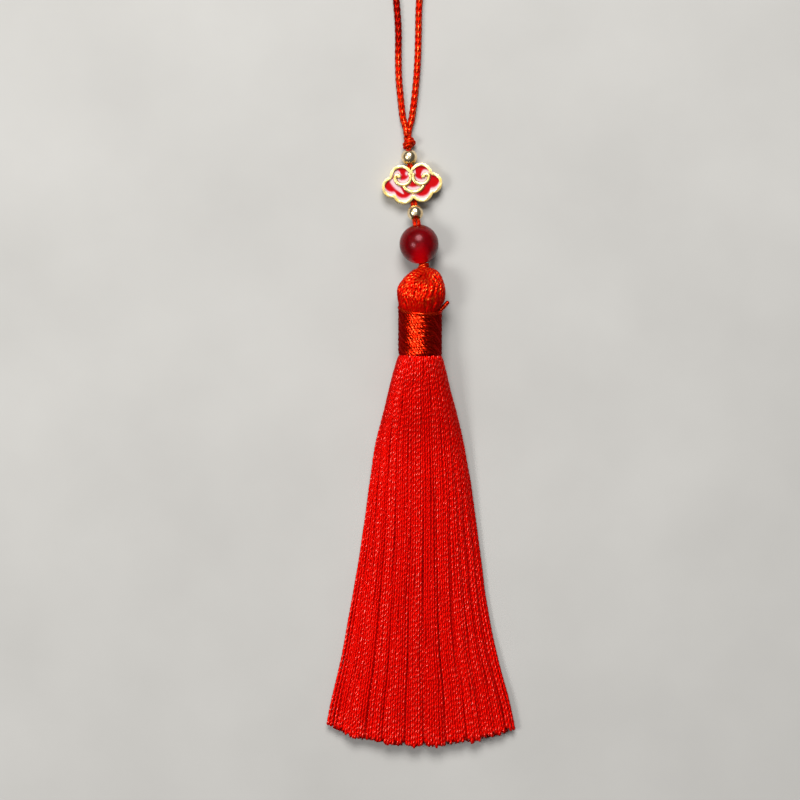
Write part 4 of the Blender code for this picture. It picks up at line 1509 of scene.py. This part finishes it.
@dataclass
class DrilledBead:
    """A round bead, cut flat at its ends, drilled and softly broken at the bore's edge."""

    name: str
    node: str
    radius: float
    end: float  # half its length along the bore
    bore: float
    centre: Point
    tilt: float  # the bore rises towards the loop by this angle, in degrees
    segments: int
    slot: str
    flare: float = 0.3  # depth over which the bore opens out at its ends
    edge: float = 0.10  # rounding of the bore's edge
    edge_steps: int = 3
    bore_margin: float = 0.02  # an edge this far outside the bore still counts as in it
    smooth_below: float = 50.0  # degrees

    def build(self, material: bpy.types.Material) -> None:
        """Model the bead.

        Args:
            material: Its material.
        """
        bpy.ops.object.select_all(action="DESELECT")
        bpy.ops.mesh.primitive_uv_sphere_add(
            segments=self.segments, ring_count=self.segments * 3 // 4, radius=self.radius * MM)
        bead = start_piece(self.name)
        for side in (1, -1):
            bpy.ops.mesh.select_all(action="SELECT")
            bpy.ops.mesh.bisect(
                plane_co=(0, 0, side * self.end * MM), plane_no=(0, 0, side), clear_outer=True,
                threshold=CUT_NEAR)
        rim = math.sqrt(self.radius ** 2 - self.end ** 2)
        for side in (1, -1):
            select_edges(bead, lambda middle, side=side: abs(middle.z - side * self.end * MM) < EDGE_NEAR)
            bpy.ops.mesh.extrude_edges_move()
            shape = bmesh.from_edit_mesh(bead.data)
            for vertex in shape.verts:
                if vertex.select:
                    vertex.co.x *= self.bore / rim
                    vertex.co.y *= self.bore / rim
                    vertex.co.z -= side * self.flare * MM
            bmesh.update_edit_mesh(bead.data)
        inner, bore = (self.end - self.flare) * MM, (self.bore + self.bore_margin) * MM
        select_edges(bead, lambda middle: abs(abs(middle.z) - inner) < EDGE_NEAR
                     and math.hypot(middle.x, middle.y) < bore)
        bpy.ops.mesh.bridge_edge_loops()
        select_edges(bead, lambda middle: abs(abs(middle.z) - self.end * MM) < EDGE_NEAR)
        bpy.ops.mesh.bevel(offset=self.edge * MM, segments=self.edge_steps, affect="EDGES")
        face_outwards(bead)
        bpy.ops.object.mode_set(mode="OBJECT")
        bpy.ops.object.shade_smooth_by_angle(angle=math.radians(self.smooth_below))
        tilt = math.radians(self.tilt)
        along = Vector((-math.sin(CHAIN_LEAN) * math.cos(tilt), math.cos(CHAIN_LEAN) * math.cos(tilt),
                        math.sin(tilt)))
        settle(bead, Vector(self.centre) * MM, along.to_track_quat("Z", "Y").to_euler())
        dress(bead, material, self.node)


@dataclass(frozen=True)
class Lobe:
    """A round lobe of the cloud."""

    x: float
    y: float
    radius: float


@dataclass(frozen=True)
class Arc:
    """A part of a circle, from its first angle to its last, in degrees."""

    x: float
    y: float
    radius: float
    first: float
    last: float


@dataclass
class Cloud:
    """A cast cloud of seven lobes: raised rim and scroll lines, with enamel in its fields."""

    centre: Point = (-2.0, 64.4, 0.0)
    height: float = 3.4
    rim: float = 0.64
    # rounding of the outer and inner edges: reach, steps and the least sharp angle in degrees
    edge: tuple[float, int, float] = (0.25, 4, 50.0)
    inner_edge: tuple[float, int, float] = (0.07, 2, 65.0)
    smooth_below: float = 38.0  # degrees, on the casting
    sides: int = 72  # of a lobe
    field: float = 2.62  # the metal floor of the fields
    enamel: float = 2.82
    enamel_lap: float = 0.06  # how far the enamel runs under the rim
    enamel_sunk: float = 0.05  # and under the floor of the fields
    enamel_grid: float = 0.16  # its mesh carries the milky colour
    enamel_reach: tuple[float, float] = (7.0, 5.0)  # half the grid's width and length
    enamel_smooth: float = 40.0  # degrees
    bore: float = 0.9
    bore_z: float = 1.6
    drill_length: float = 14.0
    drill_sides: int = 32
    line: float = 0.46
    line_z: float = 2.93
    line_sides: int = 16
    line_spacing: float = 0.16
    line_apart: float = 0.12  # least distance between its points
    line_below_rim: float = 0.02
    arc_step: float = 9.0  # degrees
    lobes: tuple[Lobe, ...] = (
        Lobe(2.5, 2.0, 2.85), Lobe(4.95, -0.35, 2.6), Lobe(2.3, -2.0, 2.8),
        Lobe(-2.5, 2.0, 2.85), Lobe(-4.95, -0.35, 2.6), Lobe(-2.3, -2.0, 2.8), Lobe(0.0, -0.3, 3.3),
    )
    fillets: tuple[Lobe, ...] = (
        Lobe(3.77, -1.08, 2.2), Lobe(-3.77, -1.08, 2.2), Lobe(3.9, 0.9, 2.1), Lobe(-3.9, 0.9, 2.1),
    )
    scroll_right: tuple[Arc, ...] = (Arc(2.46, 1.6, 1.95, 150, 358), Arc(3.72, 1.30, 0.68, 22, 188))
    scroll_left: tuple[Arc, ...] = (Arc(2.07, 1.85, 1.96, 150, 364), Arc(3.52, 2.02, 0.50, 5, 215))
    curve: tuple[Arc, ...] = (Arc(0.45, 0.6, 2.73, 202, 331),)
    blob: float = 0.54  # the scrolls' round ends
    blob_from: Ease = Ease(0.91, 0.97)  # share of the line's length
    # the enamel is milky above metal that lies this near below it
    milky_above: Ease = Ease(0.2, 1.6)
    milky_step: float = 0.05
    milky: float = 1.05
    stroke_spacing: float = 0.2
    stroke_milky: float = 0.95
    spots: tuple[Oval, ...] = (
        Oval(-3.0, 2.5, 0.8, 0.4), Oval(3.4, 2.1, 0.9, 0.4), Oval(-1.05, 2.7, 0.5, 0.7))
    spot_milky: float = 0.9
    # milky band beside the left scroll, and its half width
    stroke: tuple[Point, ...] = (
        (-4.8, 1.2, 0.8), (-4.3, 0.5, 0.95), (-3.7, -0.5, 0.8), (-3.1, -1.3, 0.55), (-2.45, -2.15, 0.20))

    def plate(
        self, name: str, lobes: tuple[Lobe, ...], shrink: float, low: float, high: float,
    ) -> bpy.types.Object:
        """Join upright cylinders into the cloud's outline.

        Args:
            name: The plate's name.
            lobes: Its lobes.
            shrink: How much smaller each lobe is.
            low: Its underside.
            high: Its top.

        Returns:
            The plate.
        """
        joined = None
        for lobe in lobes:
            cylinder = add_cylinder(
                lobe.radius - shrink, high - low, (lobe.x, lobe.y, (low + high) / 2), self.sides, (0, 0, 0))
            if joined is None:
                joined = cylinder
            else:
                combine(joined, cylinder, "UNION")
        joined.name = joined.data.name = name
        return joined

    def line_points(self, arcs: tuple[Arc, ...], side: int) -> np.ndarray:
        """Find the middle of a raised line.

        Args:
            arcs: Its arcs.
            side: -1 for the mirrored line.

        Returns:
            The points, in the cloud's own frame.
        """
        points = []
        for arc in arcs:
            count = max(4, round(abs(arc.last - arc.first) / self.arc_step))
            points += [
                (side * (arc.x + arc.radius * math.cos(angle)), arc.y + arc.radius * math.sin(angle))
                for angle in np.radians(np.linspace(arc.first, arc.last, count))]
        kept = [points[0]]
        for point in points[1:]:
            if math.dist(point, kept[-1]) > self.line_apart:
                kept.append(point)
        return np.array(kept)

    def all_lines(self) -> dict[str, np.ndarray]:
        """Work out the raised lines.

        Returns:
            Each line's name and points.
        """
        return {
            "scroll_right": self.line_points(self.scroll_right, 1),
            "scroll_left": self.line_points(self.scroll_left, -1),
            "lower_curve": self.line_points(self.curve, 1),
        }

    def finish(self, piece: bpy.types.Object, material: bpy.types.Material) -> None:
        """Move a piece from the cloud's own frame to its place on the string, and dress it.

        Args:
            piece: The piece.
            material: Its material.
        """
        settle(piece, Vector(self.centre) * MM, (0, 0, CHAIN_LEAN))
        dress(piece, material, "cloud_bead")

    def casting(self) -> bpy.types.Object:
        """Model the plate with its rim, fields and bore.

        Returns:
            The casting.
        """
        body = self.plate("cloud_casting", self.lobes, 0.0, 0.0, self.height)
        round_edges(body, *self.edge)
        pocket = self.plate(
            "cloud_pocket", self.lobes + self.fillets, self.rim, self.field, self.height + 1)
        combine(body, pocket, "DIFFERENCE")
        round_edges(body, *self.inner_edge)
        drill = add_cylinder(
            self.bore, self.drill_length, (0, 0, self.bore_z), self.drill_sides, (math.pi / 2, 0, 0))
        combine(body, drill, "DIFFERENCE")
        bpy.ops.object.shade_smooth_by_angle(angle=math.radians(self.smooth_below))
        return body

    def raised_lines(self) -> bpy.types.Object:
        """Model the scrolls and the lower curve as one piece.

        Returns:
            The lines.
        """
        mesh = TubeMesh()
        around = math.tau * np.arange(self.line_sides) / self.line_sides
        flat_topped = (np.cos(around) ** 4 + np.sin(around) ** 4) ** -0.25
        for name, points in self.all_lines().items():
            route = np.column_stack([points, np.full(len(points), self.line_z)])
            centres = along_route(route, self.line_spacing)[None]
            unturned = np.zeros((1, centres.shape[1]))
            radii = unturned + self.line
            if "scroll" in name:
                share = np.linspace(0, 1, centres.shape[1])
                radii = radii + (self.blob - self.line) * self.blob_from.at(share)
            mesh.add(centres, radii, flat_topped, unturned, unturned)
        lines = mesh.build("cloud_lines")
        top = (self.height - self.line_below_rim) * MM
        for vertex in lines.data.vertices:
            vertex.co.z = min(vertex.co.z, top)
        return lines

    def metal(self, x: np.ndarray, y: np.ndarray, lines: np.ndarray) -> np.ndarray:
        """Find how far places in the fields lie from the nearest metal.

        Args:
            x: Places across the cloud.
            y: Places along it.
            lines: Points of the raised lines.

        Returns:
            The distances, below 0 under the rim or a line.
        """
        inside = np.max([lobe.radius - self.rim - np.hypot(x - lobe.x, y - lobe.y)
                         for lobe in self.lobes + self.fillets], axis=0)
        near = np.min(np.hypot(x[:, None] - lines[:, 0], y[:, None] - lines[:, 1]), axis=1)
        return np.minimum(inside, near - self.line)

    def fade_at(self, x: np.ndarray, y: np.ndarray) -> np.ndarray:
        """Work out how milky the enamel is: most above a rim or line that lies below it.

        Args:
            x: Places across the cloud.
            y: Places along it.

        Returns:
            The share of milky pink, from 0 to 1.
        """
        lines = np.concatenate(list(self.all_lines().values()))
        below = np.full(len(x), np.inf)
        for step in np.arange(0.0, self.milky_above.end, self.milky_step):
            reached = self.metal(x, y - step, lines) < 0
            below = np.where(reached & np.isinf(below), step, below)
        fade = self.milky * (1 - self.milky_above.at(below))
        for stroke_x, stroke_y, half in along_route(np.array(self.stroke), self.stroke_spacing):
            away = np.hypot(x - stroke_x, y - stroke_y) / half
            fade = np.maximum(fade, self.stroke_milky * np.exp(-away ** 3))
        for spot in self.spots:
            fade = np.maximum(fade, self.spot_milky * spot.at(x, y))
        return fade

    def enamel_fields(self) -> bpy.types.Object:
        """Model the enamel that fills the fields, cut into a grid for its brushed colour.

        Returns:
            The enamel.
        """
        fill = self.plate(
            "cloud_enamel", self.lobes + self.fillets, self.rim - self.enamel_lap,
            self.field - self.enamel_sunk, self.enamel)
        select_only(fill)
        bpy.ops.object.mode_set(mode="EDIT")
        for axis, reach in enumerate(self.enamel_reach):
            normal = [0.0, 0.0, 0.0]
            normal[axis] = 1.0
            for place in np.arange(-reach, reach, self.enamel_grid):
                bpy.ops.mesh.select_all(action="SELECT")
                bpy.ops.mesh.bisect(
                    plane_co=[place * MM * value for value in normal], plane_no=normal,
                    threshold=CUT_NEAR)
        bpy.ops.object.mode_set(mode="OBJECT")
        points = np.array([vertex.co for vertex in fill.data.vertices]) / MM
        fade = self.fade_at(points[:, 0], points[:, 1])
        layer = fill.data.attributes.new("fade", "FLOAT", "POINT")
        layer.data.foreach_set("value", fade.astype(np.float32))
        bpy.ops.object.shade_smooth_by_angle(angle=math.radians(self.enamel_smooth))
        return fill

    def build(self, metal: bpy.types.Material, enamel: bpy.types.Material) -> None:
        """Model the whole cloud.

        Args:
            metal: The casting's material.
            enamel: The fields' material.
        """
        self.finish(self.casting(), metal)
        self.finish(self.raised_lines(), metal)
        self.finish(self.enamel_fields(), enamel)


# ---- studio
@dataclass(frozen=True)
class Light:
    """A round soft light that faces the tassel."""

    name: str
    direction: Point  # from the tassel to the light
    size: float  # its diameter, in metres
    power: float  # in watts


@dataclass
class Studio:
    """The pale floor, the soft lights and the camera straight above."""

    middle: tuple[float, float] = (-5.0, 10.25)  # the picture's middle
    frame: float = 200.0  # the picture's width at the tassel
    level: float = 4.0
    lens: float = 100.0
    sensor: float = 36.0
    floor: float = 4.0  # in metres
    lights: tuple[Light, ...] = (
        Light("key_light", (-0.03, 0.58, 0.81), 0.50, 11.8),
        Light("side_light", (-0.57, -0.10, 0.81), 0.31, 4.6),
        Light("overhead_scrim", (-0.3, 0.1, 1.0), 1.8, 3.2),
    )
    lit_point: Point = (-0.002, 0.02, 0.005)  # in metres, as the lights' distance
    distance: float = 0.9
    air: str = "#F2F4F8"
    air_strength: float = 0.09

    def place_camera(self) -> None:
        """Make the camera, looking straight down with the loop at the top."""
        data = bpy.data.cameras.new("camera")
        data.lens, data.sensor_width = self.lens, self.sensor
        camera = bpy.data.objects.new("camera", data)
        distance = self.frame * self.lens / self.sensor
        camera.location = Vector((*self.middle, self.level + distance)) * MM
        bpy.context.scene.collection.objects.link(camera)
        bpy.context.scene.camera = camera

    def add_light(self, light: Light) -> None:
        """Add one of the lights.

        Args:
            light: Its sizes.
        """
        data = bpy.data.lights.new(light.name, "AREA")
        data.shape, data.size, data.energy = "DISK", light.size, light.power
        lamp = bpy.data.objects.new(light.name, data)
        aim = Vector(light.direction).normalized()
        lamp.location = Vector(self.lit_point) + aim * self.distance
        lamp.rotation_mode = "QUATERNION"
        lamp.rotation_quaternion = aim.to_track_quat("Z", "Y")
        bpy.context.scene.collection.objects.link(lamp)

    def build(self, floor_material: bpy.types.Material) -> None:
        """Make the floor and the lights.

        Args:
            floor_material: The floor's material.
        """
        bpy.ops.object.select_all(action="DESELECT")
        bpy.ops.mesh.primitive_plane_add(size=self.floor)
        floor = bpy.context.active_object
        floor.name = "floor"
        floor.data.materials.append(floor_material)
        for light in self.lights:
            self.add_light(light)
        world = bpy.data.worlds.new("studio")
        world.use_nodes = True
        back = world.node_tree.nodes["Background"]
        back.inputs["Color"].default_value = linear(self.air)
        back.inputs["Strength"].default_value = self.air_strength
        bpy.context.scene.world = world
        bpy.context.scene.view_settings.view_transform = "Standard"


def main() -> None:
    """Load the frame and build every piece."""
    logging.basicConfig(level=logging.INFO, format="%(message)s")
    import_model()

    studio = Studio()
    studio.place_camera()
    silk = SilkFinish("dyed_silk_yarn").build()
    head_silk = SilkFinish(
        "folded_silk_yarn", light="#D81204", dark="#900100", painted_groove_shade="#A80201", roughness=0.32,
        fibre_gloss=0.55, coat=0.2, specular_and_painted_glint="#FF9430", flare=0.28, dull=0.22).build()
    wound_silk = SilkFinish(
        "wound_silk_yarn", light="#DA2408", dark="#6A0100", painted_groove_shade="#720200", roughness=0.30,
        fibre_gloss=0.85, coat=0.06, specular_and_painted_glint="#FF9444", flare=0.10, plies=5).build()
    cord_silk = SilkFinish(
        "braided_silk_cord", light="#D01A03", dark="#5A0101", painted_groove_shade="#960301", fibre_gloss=0.6,
        coat=0.28, specular_and_painted_glint="#FF9030", flare=0.32, plies=8).build()
    gilt = MetalFinish("gilt_casting", "#EED592", "#D2AE5C", 0.26).build()
    champagne = MetalFinish("polished_brass", "#FFE8BE", "#E8CA96", 0.21).build()

    HangingLoop().build(cord_silk)
    StrungCord().build(cord_silk)
    Skirt(Yarn()).build(silk)
    Head(Yarn(ply_pitch=2.2)).build(head_silk)
    Binding(Yarn(ply_pitch=4.9, spacing=0.22)).build(wound_silk)
    DrilledBead(
        name="agate_bead", node="red_bead", radius=4.9, end=4.75, bore=BEAD_BORE,
        centre=(-0.25, 49.15, 4.9), tilt=12, segments=64, slot="frosted_stone",
    ).build(StoneFinish().build())
    for node, centre, tilt in (
        ("brass_bead_lower", (-1.2, 57.05, 3.7), -31), ("brass_bead_upper", (-2.7, 71.2, 2.0), 2),
    ):
        DrilledBead(
            name="drilled_" + node, node=node, radius=2.0, end=1.70, bore=BEAD_BORE,
            centre=centre, tilt=tilt, segments=40, slot="brass",
        ).build(champagne)
    Cloud().build(gilt, EnamelFinish().build())
    studio.build(FloorFinish().build())


if __name__ == "__main__":
    main()
